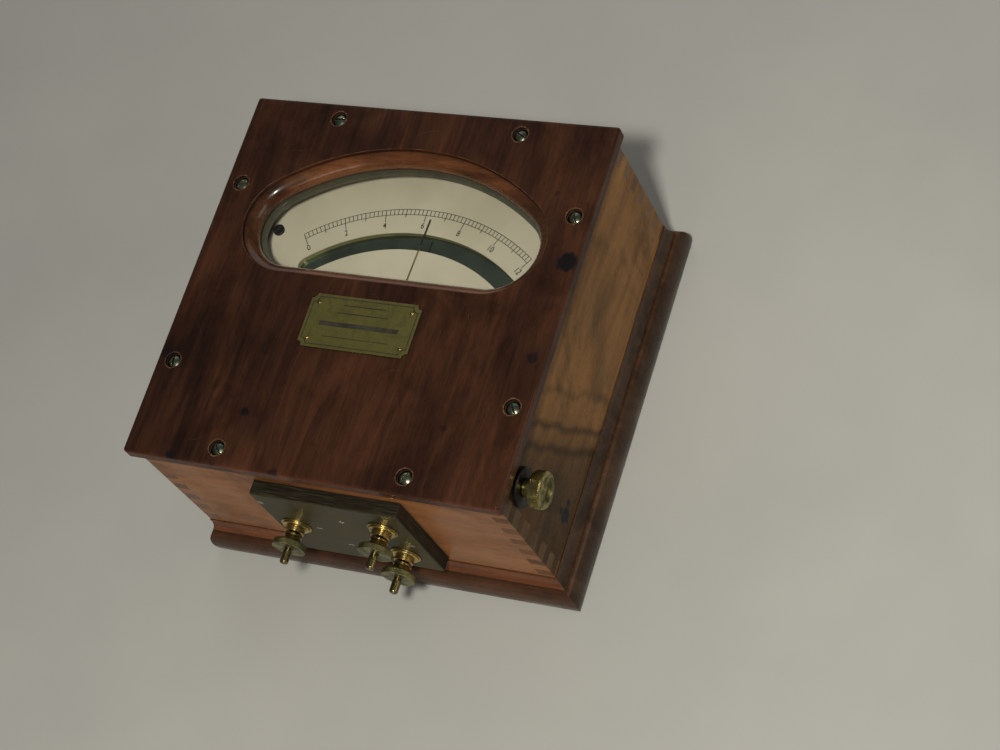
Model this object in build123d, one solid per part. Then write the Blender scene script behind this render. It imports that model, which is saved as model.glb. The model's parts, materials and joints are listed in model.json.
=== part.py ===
from build123d import *
import os
from math import asin, atan2, cos, degrees, pi, radians, sin, sqrt

# A boxed moving-coil galvanometer: a finger-jointed wooden case on a moulded baseboard, with a front
# panel that holds a D-shaped window, and a pivoted-coil movement inside. Millimetres. The instrument
# lies on its base: +Z out of the dial face, +Y towards the window, terminals on the -Y wall, knob on
# the +X wall. The origin is the centre of the baseboard's underside.

# Case
HEIGHT = 117.0
PANEL = 203.0
PANEL_T = 7.5
CASE = 196.0
WALL = 8.0
BASE_T = 17.0
COVE_TOP = 27.0
COVE_REACH = 2.3
FINGERS = 15
JOINT_GAP = 0.05
GLUE_GAP = 0.02

PANEL_BACK = HEIGHT - PANEL_T
CASE_HALF = CASE / 2
INNER_HALF = CASE_HALF - WALL

# The baseboard's nosing: an elliptical edge, centred this far outside the case and above the table
NOSE_X = CASE_HALF + 2.5
NOSE_Z = 6.0
NOSE_REACH = 4.1
NOSE_RISE = 10.0

# Screws that hold the panel and the base to the walls
SCREW_PITCH = 50.8
SCREW_EDGE = 92.6
SCREW_R = 2.0
HEAD_R = 3.8
COUNTERBORE_R = 4.2
COUNTERBORE = 1.7
HEAD_SINK = 0.3
SLOT_W = 1.0
SLOT_ANGLES = (9, -23, -50, 62, -60, -64, -85, 55)
COUNTERSINK_R = 4.3
COUNTERSINK = 2.6
PILOT = 22.0
PANEL_SCREW = 26.0

# Window: a long top arc, two round ends and a straight foot, measured from the panel's centre
WINDOW_TOP_R = 119.8
WINDOW_END_R = 28.3
WINDOW_END_X = 54.7
WINDOW_FOOT_Y = 4.3
QUIRK = 1.9
OVOLO_W = 5.8
OVOLO_END = 9.4
GLASS_DEPTH = 10.0
GLASS_T = 2.0
REBATE = 2.6
MOULDING_BACK = 14.0
FLANGE_W = 4.0
RETAINER_IN = 7.5

# Plaque
PLAQUE_X = 1.5
PLAQUE_Y = -20.0
PLAQUE_W = 60.0
PLAQUE_H = 28.5
PLAQUE_T = 0.8
NOTCH_R = 2.6
PIN_INSET = 4.6
PIN_R = 0.6

# Movement axis and scale
AXIS_Y = -48.7
REST_ANGLE = -2.35
CARD_TOP = 89.6
CARD_T = 0.4
PLATE_T = 2.6
MIRROR_T = 2.0
DIAL_HALF = 84.0
DIAL_FOOT_Y = -12.0
DIAL_TOP_Y = 86.0
SLOT_IN_R = 86.0
SLOT_OUT_R = 95.5
SLOT_HALF_ANGLE = 38.5
DIAL_SCREW_X = 78.9
DIAL_SCREW_Y = 39.9
DIAL_SCREW_R = 1.4
POINTER_Z = 91.6
POINTER_TIP_R = 103.0
FLAG_R = 88.0

PLATE_TOP = CARD_TOP - CARD_T
PLATE_BOTTOM = PLATE_TOP - PLATE_T

# Magnet system
MAGNET_LOW = 42.0
MAGNET_HIGH = 62.0
LIMB_IN = 26.0
LIMB_OUT = 46.0
BORE_R = 15.0
CORE_R = 11.0
CORE_OVER = 1.0
POLE_HALF_Y = 15.0
POLE_IN_X = 9.0
BEND_Y = 15.0
CORE_BAR_T = 3.0
CORE_SCREW_X = 17.0
CLAMP_Y = 5.0
CLAMP_T = 3.0
CLAMP_HALF = 57.0
CLAMP_BOLT_X = 51.5
CLAMP_BOLT_R = 2.0
CLAMP_BOLT_IN = 17.0
MEDIUM_SCREW_R = 1.5
SMALL_SCREW_R = 1.25

# Moving coil
FORMER_IN = 12.0
FORMER_T = 0.5
WINDING_T = 1.2
COIL_HALF_W = 2.6
COIL_TOP = 64.2
COIL_BOTTOM = 39.8
STAFF_R = 0.8
COLLET_R = 2.2
UPPER_SPRING_Z = 95.0
LOWER_SPRING_Z = 33.5
SPRING_H = 0.8
SPRING_T = 0.25
SPRING_IN_R = 2.4
SPRING_OUT_R = 12.0
SPRING_TURNS = 5
STUD_R = 1.0

# Bridges
PILLAR_X = 21.0
PILLAR_R = 3.5
UPPER_BRIDGE_Z = 98.0
LOWER_BRIDGE_Z = 26.0
BRIDGE_T = 3.0
BRIDGE_HALF = 26.0
BRIDGE_HALF_W = 5.0
BOSS_R = 5.0
BOSS_H = 3.5
JEWEL_SCREW_R = 2.0
JEWEL_R = 0.85
JEWEL_DEPTH = 1.6

# Zero setting: knob, spindle, eccentric and fork
KNOB_Y = -79.7
KNOB_Z = 93.4
KNOB_R = 9.1
KNOB_BACK = 104.4
KNOB_FACE = 110.8
KNOB_NECK_R = 4.8
KNOB_TEETH = 80
KNURL_DEPTH = 0.15
COLLAR_R = 9.6
COLLAR_T = 2.0
BUSH_R = 5.0
SPINDLE_R = 3.0
RUN_GAP = 0.05
ECCENTRIC_X = 40.0
ECCENTRIC_T = 4.0
ECCENTRIC_R = 7.5
THROW = 5.0
CRANK_PIN_R = 1.5
FORK_X = 34.5
FORK_GAP = 0.4
BEARING_X = 56.0
BEARING_T = 8.0
ARM_T = 1.6

# Resistances and wires
BOBBIN_X = 68.0
BOBBIN_Y = -46.0
BOBBIN_R = 14.0
BOBBIN_CORE_R = 7.0
BOBBIN_H = 36.0
WOUND_R = 12.5
WIRE_R = 0.6
WIRE_BEND = 2.5
WIRE_LANE = -74.0

# Terminals, on the -Y wall: (x, z) of each, and distances outward from the wall
BLOCK_X = 1.5
BLOCK_W = 80.0
BLOCK_LOW = 30.0
BLOCK_HIGH = 95.5
BLOCK_T = 7.5
TERMINALS = {"left": (-27.0, 62.5), "upper": (27.0, 76.5), "lower": (27.0, 46.5)}
STUD_ROD_R = 2.2
STUD_HOLE_R = 2.6
STUD_TIP = 28.4
STUD_TAIL = 19.0
WASHER_R = 7.8
WASHER_T = 0.7
FLANGE_R = 6.9
FLANGE_T = 1.1
STUD_COLLAR_R = 4.9
STUD_COLLAR_T = 3.0
CLAMP_GAP = 0.8
GROOVE_R = 1.85
GROOVE_W = 0.7
GROOVE_GAP = 0.3
FERRULE_T = 4.2
FERRULE_FOOT_R = 4.7
FERRULE_WAIST_R = 4.0
NUT_R = 8.5
NUT_T = 3.2
NUT_TEETH = 72

COLLAR_FOOT = BLOCK_T + WASHER_T + FLANGE_T
FERRULE_FOOT = COLLAR_FOOT + STUD_COLLAR_T + CLAMP_GAP
NUT_FOOT = FERRULE_FOOT + FERRULE_T + 0.1


def save(node, *solids):
    """Write one sub-part, from one solid or a group of separate ones."""
    shape = solids[0] if len(solids) == 1 else Compound(children=list(solids))
    export_step(shape, f"parts/{node}.step")


def block(x0, x1, y0, y1, z0, z1):
    """A rectangular block between two corners."""
    return Pos((x0 + x1) / 2, (y0 + y1) / 2, (z0 + z1) / 2) * Box(x1 - x0, y1 - y0, z1 - z0)


def rod(start, end, radius, end_radius=None):
    """A cylinder between two points, or a cone where the far radius is given."""
    span = Vector(*end) - Vector(*start)
    plane = Plane(origin=start, z_dir=span)
    low = (Align.CENTER, Align.CENTER, Align.MIN)
    if end_radius is None:
        return plane * Cylinder(radius, span.length, align=low)
    return plane * Cone(radius, end_radius, span.length, align=low)


def disc(x, y, z0, z1, radius):
    """An upright cylinder between two heights."""
    return rod((x, y, z0), (x, y, z1), radius)


def slotted_screw(x, y, head_z, head_r, head_h, shank_r, length, angle):
    """A round-headed screw: a dome with a slot, on a plain shank that points down."""
    dome_r = (head_r**2 + head_h**2) / (2 * head_h)
    ball = Pos(0, 0, head_h - dome_r) * Sphere(dome_r)
    head = ball & disc(0, 0, 0, head_h, head_r)
    slot = block(-head_r, head_r, -SLOT_W / 2, SLOT_W / 2, head_h * 0.3, head_h + 1)
    screw = (head + disc(0, 0, -length, 0.1, shank_r)) - slot
    return Pos(x, y, head_z) * Rot(0, 0, angle) * screw


def knurled_disc(radius, teeth, thickness):
    """A disc with straight teeth round its rim, from z = 0 up."""
    points = []
    for i in range(2 * teeth):
        r = radius - KNURL_DEPTH * (i % 2)
        points.append((r * cos(pi * i / teeth), r * sin(pi * i / teeth)))
    return extrude(make_face(Polyline(*points, close=True)), amount=thickness)


def rim_screws():
    """The eight (x, y) places of the screws along the four walls."""
    along = [(s * SCREW_PITCH, t * SCREW_EDGE) for t in (1, -1) for s in (-1, 1)]
    return along + [(t * SCREW_EDGE, s * SCREW_PITCH) for t in (1, -1) for s in (-1, 1)]


# ---------------------------------------------------------------- case

def moulded_slab(edges, half):
    """A square slab with the edge section drawn at its +X side, mitred at all four corners."""
    right = make_face(edges)
    section = right + mirror(right, about=Plane.YZ)
    bar = extrude(section, amount=half, dir=(0, 1, 0), both=True)
    return bar & (Rot(0, 0, 90) * bar)


def nose_point(angle):
    """A point on the nosing's ellipse, at an angle up from level."""
    return (NOSE_X + NOSE_REACH * cos(radians(angle)), 0, NOSE_Z + NOSE_RISE * sin(radians(angle)))


def baseboard():
    """The baseboard: an elliptical nosing with a small quirk over it, drilled for its screws."""
    foot_angle = -degrees(asin(NOSE_Z / NOSE_RISE))
    stops = (foot_angle, 25, 55, 75, 90)
    arcs = [
        ThreePointArc(nose_point(a), nose_point((a + b) / 2), nose_point(b)) for a, b in zip(stops, stops[1:])
    ]
    outline = Polyline((NOSE_X, 0, NOSE_Z + NOSE_RISE), (NOSE_X, 0, BASE_T), (0, 0, BASE_T), (0, 0, 0),
                       nose_point(foot_angle))
    board = moulded_slab([*arcs, outline], NOSE_X + NOSE_REACH)
    for x, y in rim_screws():
        board -= disc(x, y, -1, BASE_T + 1, SCREW_R + GLUE_GAP)
        board -= rod((x, y, -0.01), (x, y, COUNTERSINK), COUNTERSINK_R, SCREW_R)
    return board


def cove_moulding():
    """Four mitred strips with a hollow section, round the foot of the case."""
    foot = CASE_HALF + COVE_REACH
    lip = CASE_HALF + 0.5
    edges = [
        Line((0, 0, BASE_T), (foot, 0, BASE_T)),
        Line((foot, 0, BASE_T), (foot, 0, BASE_T + 0.9)),
        ThreePointArc((foot, 0, BASE_T + 0.9), (lip + 0.45, 0, BASE_T + 4.4), (lip, 0, COVE_TOP)),
        Line((lip, 0, COVE_TOP), (0, 0, COVE_TOP)),
        Line((0, 0, COVE_TOP), (0, 0, BASE_T)),
    ]
    ring = moulded_slab(edges, foot)
    hole = CASE_HALF + GLUE_GAP
    ring -= block(-hole, hole, -hole, hole, BASE_T - 1, COVE_TOP + 1)
    for turn in (45, -45):
        saw = Rot(0, 0, turn) * block(-PANEL, PANEL, -JOINT_GAP / 2, JOINT_GAP / 2, 0, HEIGHT)
        ring -= saw
    return ring.solids()


def side_wall(sign):
    """The left or right wall, with every second finger standing at each end."""
    x0, x1 = sorted((sign * INNER_HALF, sign * CASE_HALF))
    wall = block(x0, x1, -CASE_HALF, CASE_HALF, BASE_T, PANEL_BACK)
    pitch = (PANEL_BACK - BASE_T) / FINGERS
    for i in range(1, FINGERS, 2):
        z0 = BASE_T + i * pitch - JOINT_GAP
        z1 = BASE_T + (i + 1) * pitch + JOINT_GAP
        for end in (-1, 1):
            y0, y1 = sorted((end * (INNER_HALF - JOINT_GAP), end * (CASE_HALF + 1)))
            wall -= block(x0 - 1, x1 + 1, y0, y1, z0, z1)
    return wall


def end_wall(sign):
    """The terminal wall (-Y) or rear wall (+Y), with the fingers that fill the side walls' notches."""
    y0, y1 = sorted((sign * INNER_HALF, sign * CASE_HALF))
    wall = block(-CASE_HALF, CASE_HALF, y0, y1, BASE_T, PANEL_BACK)
    pitch = (PANEL_BACK - BASE_T) / FINGERS
    for i in range(0, FINGERS, 2):
        z0 = BASE_T + i * pitch - (1 if i == 0 else 0)
        z1 = BASE_T + (i + 1) * pitch + (1 if i == FINGERS - 1 else 0)
        for end in (-1, 1):
            x0, x1 = sorted((end * (INNER_HALF - JOINT_GAP), end * (CASE_HALF + 1)))
            wall -= block(x0, x1, y0 - 1, y1 + 1, z0, z1)
    return wall


def pilot_holes(wall):
    """Drill a wall for the panel screws from above and the base screws from below."""
    for x, y in rim_screws():
        wall -= disc(x, y, PANEL_BACK - PILOT, HEIGHT, SCREW_R + GLUE_GAP)
        wall -= disc(x, y, 0, BASE_T + PILOT, SCREW_R + GLUE_GAP)
    return wall


def terminal_wall():
    """The -Y wall, drilled for the three studs and the screws of the spindle bearing."""
    wall = pilot_holes(end_wall(-1))
    for x, z in TERMINALS.values():
        wall -= rod((x, -CASE_HALF - 1, z), (x, -INNER_HALF + 1, z), STUD_HOLE_R)
    x = BEARING_X + BEARING_T / 2
    for z in bearing_screw_heights():
        wall -= rod((x, -INNER_HALF + 1, z), (x, -INNER_HALF - 6.2, z), SMALL_SCREW_R + GLUE_GAP)
    return wall


def knob_wall():
    """The +X wall, bored for the spindle's bush."""
    wall = pilot_holes(side_wall(1))
    return wall - rod((INNER_HALF - 1, KNOB_Y, KNOB_Z), (CASE_HALF + 1, KNOB_Y, KNOB_Z), BUSH_R + GLUE_GAP)


def front_panel():
    """The panel: rounded arrises, the window opening, and eight counterbored screw holes."""
    half = PANEL / 2
    panel = block(-half, half, -half, half, PANEL_BACK, HEIGHT)
    panel = fillet(panel.edges().filter_by(Axis.Z), 1.6)
    panel = fillet(panel.faces().sort_by(Axis.Z)[-1].edges(), 1.5)
    panel = fillet(panel.faces().sort_by(Axis.Z)[0].edges(), 1.0)
    panel -= window_prism(0, 0, PANEL_T + 1)
    for x, y in rim_screws():
        panel -= disc(x, y, PANEL_BACK - 1, HEIGHT + 1, SCREW_R + GLUE_GAP)
        panel -= disc(x, y, HEIGHT - COUNTERBORE, HEIGHT + 1, COUNTERBORE_R)
    for x, y in plaque_pin_places():
        panel -= disc(x, y, HEIGHT - 5.1, HEIGHT + 1, PIN_R + GLUE_GAP)
    return panel


def panel_screws():
    """Eight round-headed slotted screws, sunk in the panel's counterbores."""
    head_z = HEIGHT - COUNTERBORE
    head_h = COUNTERBORE - HEAD_SINK
    places = zip(rim_screws(), SLOT_ANGLES)
    return [slotted_screw(x, y, head_z, HEAD_R, head_h, SCREW_R, PANEL_SCREW, a) for (x, y), a in places]


def base_screws():
    """Eight countersunk screws up through the baseboard into the walls."""
    screws = []
    for (x, y), angle in zip(rim_screws(), SLOT_ANGLES):
        head = rod((0, 0, 0.3), (0, 0, COUNTERSINK - 0.2), COUNTERSINK_R - 0.4, SCREW_R)
        screw = head + disc(0, 0, COUNTERSINK - 0.3, BASE_T + PILOT - 2, SCREW_R)
        screw -= block(-5, 5, -SLOT_W / 2, SLOT_W / 2, 0, 0.9)
        screws.append(Pos(x, y, 0) * Rot(0, 0, angle) * screw)
    return screws


# ---------------------------------------------------------------- window and plaque

def window_edges(offset, z):
    """The window's outline moved inward by an offset, as tangent edges from the foot's middle."""
    end_r = WINDOW_END_R - offset
    top_r = WINDOW_TOP_R - offset
    end_y = WINDOW_FOOT_Y + WINDOW_END_R
    top_y = end_y - sqrt((WINDOW_TOP_R - WINDOW_END_R) ** 2 - WINDOW_END_X**2)
    meet = atan2(end_y - top_y, WINDOW_END_X)
    ends = []
    for side in (1, -1):
        foot = (side * WINDOW_END_X, end_y - end_r, z)
        middle_turn = (meet - pi / 2) / 2
        middle = (side * (WINDOW_END_X + end_r * cos(middle_turn)), end_y + end_r * sin(middle_turn), z)
        shoulder = (side * (WINDOW_END_X + end_r * cos(meet)), end_y + end_r * sin(meet), z)
        ends.append((foot, middle, shoulder))
    right, left = ends
    start = (0, end_y - end_r, z)
    return [
        Line(start, right[0]),
        ThreePointArc(*right),
        ThreePointArc(right[2], (0, top_y + top_r, z), left[2]),
        ThreePointArc(left[2], left[1], left[0]),
        Line(left[0], start),
    ]


def window_prism(offset, depth, thickness):
    """A block with the window's outline, from a depth below the panel's face downward."""
    face = make_face(window_edges(offset, HEIGHT - depth))
    return extrude(face, amount=thickness, dir=(0, 0, -1))


def window_moulding():
    """The ovolo ring let into the opening, with a rebate for the glass and a flange behind the panel."""
    foot = WINDOW_FOOT_Y

    def at(inward, depth):
        return (0, foot + inward, HEIGHT - depth)

    outer = 0.12
    corners = [
        at(OVOLO_W, OVOLO_END),
        at(OVOLO_W, GLASS_DEPTH),
        at(REBATE, GLASS_DEPTH),
        at(REBATE, MOULDING_BACK),
        at(-FLANGE_W, MOULDING_BACK),
        at(-FLANGE_W, PANEL_T + GLUE_GAP),
        at(outer, PANEL_T + GLUE_GAP),
        at(outer, QUIRK),
        at(outer + 0.5, QUIRK),
    ]
    bulge = at(OVOLO_W * 0.78, QUIRK + (OVOLO_END - QUIRK) * 0.30)
    section = make_face([Polyline(*corners), ThreePointArc(corners[-1], bulge, corners[0])])
    path = Wire(window_edges(0, HEIGHT))
    return sweep(section, path=path)


def window_glass():
    """The window's glass, in the moulding's rebate."""
    return window_prism(REBATE + 0.1, GLASS_DEPTH + GLUE_GAP, GLASS_T)


def glass_retainer():
    """The painted slip that holds the glass in from behind and shows as a narrow rim round it."""
    depth = GLASS_DEPTH + GLASS_T + 2 * GLUE_GAP
    thickness = MOULDING_BACK - depth
    return window_prism(REBATE + 0.1, depth, thickness) - window_prism(RETAINER_IN, depth - 1, thickness + 2)


def plaque_pin_places():
    """The four (x, y) places of the plaque's pins, one near each notched corner."""
    dx = PLAQUE_W / 2 - PIN_INSET
    dy = PLAQUE_H / 2 - PIN_INSET
    return [(PLAQUE_X + sx * dx, PLAQUE_Y + sy * dy) for sx in (-1, 1) for sy in (-1, 1)]


def plaque():
    """A thin brass plaque with hollowed corners."""
    x0, x1 = PLAQUE_X - PLAQUE_W / 2, PLAQUE_X + PLAQUE_W / 2
    y0, y1 = PLAQUE_Y - PLAQUE_H / 2, PLAQUE_Y + PLAQUE_H / 2
    plate = block(x0, x1, y0, y1, HEIGHT, HEIGHT + PLAQUE_T)
    for x in (x0, x1):
        for y in (y0, y1):
            plate -= disc(x, y, HEIGHT - 1, HEIGHT + 2, NOTCH_R)
    for x, y in plaque_pin_places():
        plate -= disc(x, y, HEIGHT - 1, HEIGHT + 2, PIN_R + GLUE_GAP)
    return plate


def plaque_pins():
    """Four round-headed pins."""
    pins = []
    for x, y in plaque_pin_places():
        ball = Pos(x, y, HEIGHT + PLAQUE_T - 0.55) * Sphere(1.25)
        head = ball & disc(x, y, HEIGHT + PLAQUE_T, HEIGHT + PLAQUE_T + 1, 1.2)
        pins.append(head + disc(x, y, HEIGHT - 5, HEIGHT + PLAQUE_T + 0.1, PIN_R))
    return pins


# ---------------------------------------------------------------- dial

def arc_band(r_in, r_out, half_angle, z0, z1):
    """A band round the movement's axis, centred on +Y, with round ends."""
    middle = (r_in + r_out) / 2
    ring = disc(0, AXIS_Y, z0, z1, r_out) - disc(0, AXIS_Y, z0 - 1, z1 + 1, r_in)
    reach = 2 * r_out
    edge = radians(half_angle)
    far = [(0, 0), (-reach * sin(edge), reach * cos(edge)), (reach * sin(edge), reach * cos(edge))]
    wedge = extrude(make_face(Polyline(*far, close=True)), amount=z1 - z0)
    band = ring & (Pos(0, AXIS_Y, z0) * wedge)
    for side in (-1, 1):
        x = side * middle * sin(edge)
        y = AXIS_Y + middle * cos(edge)
        band += disc(x, y, z0, z1, (r_out - r_in) / 2)
    return band


def dial_outline(inset, z, thickness):
    """The dial's rounded rectangle."""
    x = DIAL_HALF - inset
    plate = block(-x, x, DIAL_FOOT_Y + inset, DIAL_TOP_Y - inset, z, z + thickness)
    return fillet(plate.edges().filter_by(Axis.Z), 14 - inset)


def dial_plate():
    """The brass plate that carries the card, with the mirror slot through it."""
    plate = dial_outline(0, PLATE_BOTTOM, PLATE_T)
    plate -= arc_band(SLOT_IN_R, SLOT_OUT_R, SLOT_HALF_ANGLE, PLATE_BOTTOM - 1, CARD_TOP + 1)
    for side in (-1, 1):
        plate -= disc(side * DIAL_SCREW_X, DIAL_SCREW_Y, PLATE_BOTTOM - 1, CARD_TOP + 1, DIAL_SCREW_R + 0.1)
    return plate


def dial_card():
    """The card that carries the scale."""
    card = dial_outline(0.8, PLATE_TOP, CARD_T)
    card -= arc_band(SLOT_IN_R, SLOT_OUT_R, SLOT_HALF_ANGLE, PLATE_BOTTOM - 1, CARD_TOP + 1)
    for side in (-1, 1):
        card -= disc(side * DIAL_SCREW_X, DIAL_SCREW_Y, PLATE_BOTTOM - 1, CARD_TOP + 1, DIAL_SCREW_R + 0.1)
    return card


def mirror_strip():
    """The mirror under the slot, for reading without parallax."""
    return arc_band(SLOT_IN_R - 3, SLOT_OUT_R + 3, SLOT_HALF_ANGLE, PLATE_BOTTOM - MIRROR_T, PLATE_BOTTOM)


def dial_bearers():
    """Two wooden cleats on the side walls, under the dial's ends."""
    cleats = []
    for side in (-1, 1):
        x0, x1 = sorted((side * INNER_HALF, side * (INNER_HALF - 14)))
        cleat = block(x0, x1, -5, 75, PLATE_BOTTOM - 8, PLATE_BOTTOM)
        hole = disc(side * DIAL_SCREW_X, DIAL_SCREW_Y, PLATE_BOTTOM - 7, CARD_TOP, DIAL_SCREW_R + GLUE_GAP)
        cleats.append(cleat - hole)
    return cleats


def dial_screws():
    """Two cheese-headed screws at the dial's ends."""
    screws = []
    for side, angle in ((-1, 55), (1, -20)):
        head = disc(0, 0, 0, 1.5, 3.0) - block(-4, 4, -0.35, 0.35, 0.8, 2)
        screw = head + disc(0, 0, -9, 0.1, DIAL_SCREW_R)
        screws.append(Pos(side * DIAL_SCREW_X, DIAL_SCREW_Y, CARD_TOP) * Rot(0, 0, angle) * screw)
    return screws


# ---------------------------------------------------------------- terminals

def out_from_wall(distance):
    """The y of a plane a distance outward from the terminal wall."""
    return -CASE_HALF - distance


def terminal_block():
    """The ebonite slab on the terminal wall, drilled for the studs."""
    x0, x1 = BLOCK_X - BLOCK_W / 2, BLOCK_X + BLOCK_W / 2
    slab = block(x0, x1, out_from_wall(BLOCK_T), out_from_wall(0), BLOCK_LOW, BLOCK_HIGH)
    slab = chamfer(slab.faces().sort_by(Axis.Y)[0].edges(), 0.5)
    for x, z in TERMINALS.values():
        slab -= rod((x, out_from_wall(BLOCK_T + 1), z), (x, out_from_wall(-1), z), STUD_HOLE_R)
    return slab


def out_along(x, z, start, end, radius, end_radius=None):
    """A cylinder or cone on a terminal's axis between two distances outward from the wall."""
    return rod((x, out_from_wall(start), z), (x, out_from_wall(end), z), radius, end_radius)


def terminal_stud(x, z):
    """A turned stud: washer, flange and collar on the block, and a domed rod with a groove past the nut."""
    stem = out_along(x, z, -STUD_TAIL, STUD_TIP, STUD_ROD_R)
    stem = fillet(stem.edges().sort_by(Axis.Y)[0], 1.3)
    groove = NUT_FOOT + NUT_T + GROOVE_GAP
    stem -= out_along(x, z, groove, groove + GROOVE_W, STUD_ROD_R + 1) - out_along(x, z, 0, STUD_TIP, GROOVE_R)
    washer = out_along(x, z, BLOCK_T, BLOCK_T + WASHER_T, WASHER_R)
    flange = out_along(x, z, BLOCK_T, COLLAR_FOOT, FLANGE_R)
    flange = fillet(flange.edges().sort_by(Axis.Y)[0], 0.6)
    collar = out_along(x, z, BLOCK_T, COLLAR_FOOT + STUD_COLLAR_T, STUD_COLLAR_R)
    collar = chamfer(collar.edges().sort_by(Axis.Y)[0], 0.4)
    return stem + washer + flange + collar


def clamp_ferrule(x, z):
    """The loose ring under a thumb nut, which presses the wire on the stud's collar."""
    waist = FERRULE_FOOT + 0.8
    end = FERRULE_FOOT + FERRULE_T
    ring = out_along(x, z, FERRULE_FOOT, waist, FERRULE_FOOT_R)
    ring += out_along(x, z, waist, end, FERRULE_WAIST_R, FERRULE_FOOT_R)
    return ring - out_along(x, z, FERRULE_FOOT - 1, end + 1, STUD_ROD_R + RUN_GAP)


def thumb_nut(x, z):
    """A knurled thumb nut: a thin flat disc, bevelled a little at the back."""
    nut = knurled_disc(NUT_R, NUT_TEETH, NUT_T)
    nut &= rod((0, 0, 0), (0, 0, NUT_T), NUT_R - 0.4, NUT_R + 2)
    nut -= disc(0, 0, -1, NUT_T + 1, STUD_ROD_R + RUN_GAP)
    return Pos(x, out_from_wall(NUT_FOOT), z) * Rot(90, 0, 0) * nut


def terminal_back_nuts():
    """Three hexagon nuts that pull the studs tight from inside the case."""
    nuts = []
    for x, z in TERMINALS.values():
        nut = extrude(RegularPolygon(5.2, 6), amount=3.5) - disc(0, 0, -1, 5, STUD_ROD_R + GLUE_GAP)
        nuts.append(Pos(x, -INNER_HALF, z) * Rot(-90, 0, 0) * nut)
    return nuts


# ---------------------------------------------------------------- zero setting

def along_spindle(x0, x1, radius, end_radius=None):
    """A cylinder or cone on the spindle's axis between two x positions."""
    return rod((x0, KNOB_Y, KNOB_Z), (x1, KNOB_Y, KNOB_Z), radius, end_radius)


def knob():
    """The milled knob with a dished face and a short neck."""
    thickness = KNOB_FACE - KNOB_BACK
    body = knurled_disc(KNOB_R, KNOB_TEETH, thickness)
    body &= disc(0, 0, 0, 1.0, KNOB_R - 0.8) + disc(0, 0, 1.0, thickness - 1.0, KNOB_R + 1) + rod(
        (0, 0, thickness - 1.0), (0, 0, thickness), KNOB_R + 0.4, KNOB_R - 0.6
    )
    body -= rod((0, 0, thickness - 1.4), (0, 0, thickness + 0.01), KNOB_R - 3.9, KNOB_R - 2.6)
    body = Pos(KNOB_BACK, KNOB_Y, KNOB_Z) * Rot(0, 90, 0) * body
    neck = along_spindle(CASE_HALF + COLLAR_T + 0.3, KNOB_BACK + 0.1, KNOB_NECK_R)
    return body + neck - along_spindle(INNER_HALF, KNOB_FACE - 1.9, SPINDLE_R + GLUE_GAP)


def knob_collar():
    """The blackened collar on the wall, one piece with the bush that the spindle turns in."""
    collar = along_spindle(CASE_HALF, CASE_HALF + COLLAR_T, COLLAR_R)
    collar = chamfer(collar.edges().sort_by(Axis.X)[-1], 0.5)
    bush = along_spindle(INNER_HALF - 2, CASE_HALF + 0.1, BUSH_R)
    return collar + bush - along_spindle(0, KNOB_FACE, SPINDLE_R + RUN_GAP)


def zero_spindle():
    """The spindle from the knob to the eccentric."""
    return along_spindle(ECCENTRIC_X + ECCENTRIC_T / 2, KNOB_FACE - 2.0, SPINDLE_R)


def eccentric():
    """The disc on the spindle's inner end, with its crank pin at the top."""
    wheel = along_spindle(ECCENTRIC_X, ECCENTRIC_X + ECCENTRIC_T, ECCENTRIC_R)
    wheel -= along_spindle(ECCENTRIC_X + ECCENTRIC_T / 2, KNOB_FACE, SPINDLE_R + GLUE_GAP)
    pin_z = KNOB_Z + THROW
    return wheel + rod((FORK_X - 5, KNOB_Y, pin_z), (ECCENTRIC_X + 0.1, KNOB_Y, pin_z), CRANK_PIN_R)


def bearing_screw_heights():
    """The heights of the two screws that hold the spindle bearing to the wall."""
    return (KNOB_Z - 10, KNOB_Z + 10)


def spindle_bearing():
    """The brass block on the terminal wall that carries the spindle's inner end."""
    low, high = bearing_screw_heights()
    x0, x1 = BEARING_X, BEARING_X + BEARING_T
    middle = (x0 + x1) / 2
    pad = block(x0, x1, -INNER_HALF, -INNER_HALF + 3, low - 4, high + 4)
    body = block(x0, x1, -INNER_HALF, KNOB_Y + 6, KNOB_Z - 6, KNOB_Z + 6)
    bearing = pad + body - along_spindle(x0 - 1, x1 + 1, SPINDLE_R + RUN_GAP)
    for z in (low, high):
        bearing -= rod((middle, -INNER_HALF - 1, z), (middle, -INNER_HALF + 4, z), SMALL_SCREW_R + GLUE_GAP)
    return bearing


def zero_arm():
    """The fork lever on the upper bridge: hub, fork round the crank pin, and the upper spring's stud."""
    z0 = UPPER_BRIDGE_Z + BRIDGE_T + 0.1
    z1 = z0 + ARM_T
    hub = disc(0, AXIS_Y, z0, z1, BOSS_R + 3)
    reach_y = KNOB_Y - AXIS_Y
    turn = degrees(atan2(reach_y, FORK_X))
    length = sqrt(FORK_X**2 + reach_y**2)
    arm = Pos(0, AXIS_Y, 0) * Rot(0, 0, turn) * block(4, length - 3, -2.2, 2.2, z0, z1)
    gap = CRANK_PIN_R + FORK_GAP
    yoke = block(FORK_X - 1.5, FORK_X + 1.5, KNOB_Y - gap - 1.8, KNOB_Y + gap + 1.8, KNOB_Z + 2.2, z1)
    yoke -= block(FORK_X - 2, FORK_X + 2, KNOB_Y - gap, KNOB_Y + gap, KNOB_Z, z0)
    spring_arm = Pos(0, AXIS_Y, 0) * Rot(0, 0, 140) * block(4, SPRING_OUT_R + 2 * STUD_R, -1.6, 1.6, z0, z1)
    stud_x, stud_y = spring_stud_place(140)
    stud = disc(stud_x, stud_y, UPPER_SPRING_Z - 0.4, z0 + 0.1, STUD_R)
    return hub + arm + yoke + spring_arm + stud - disc(0, AXIS_Y, z0 - 1, z1 + 1, BOSS_R + RUN_GAP)


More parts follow.
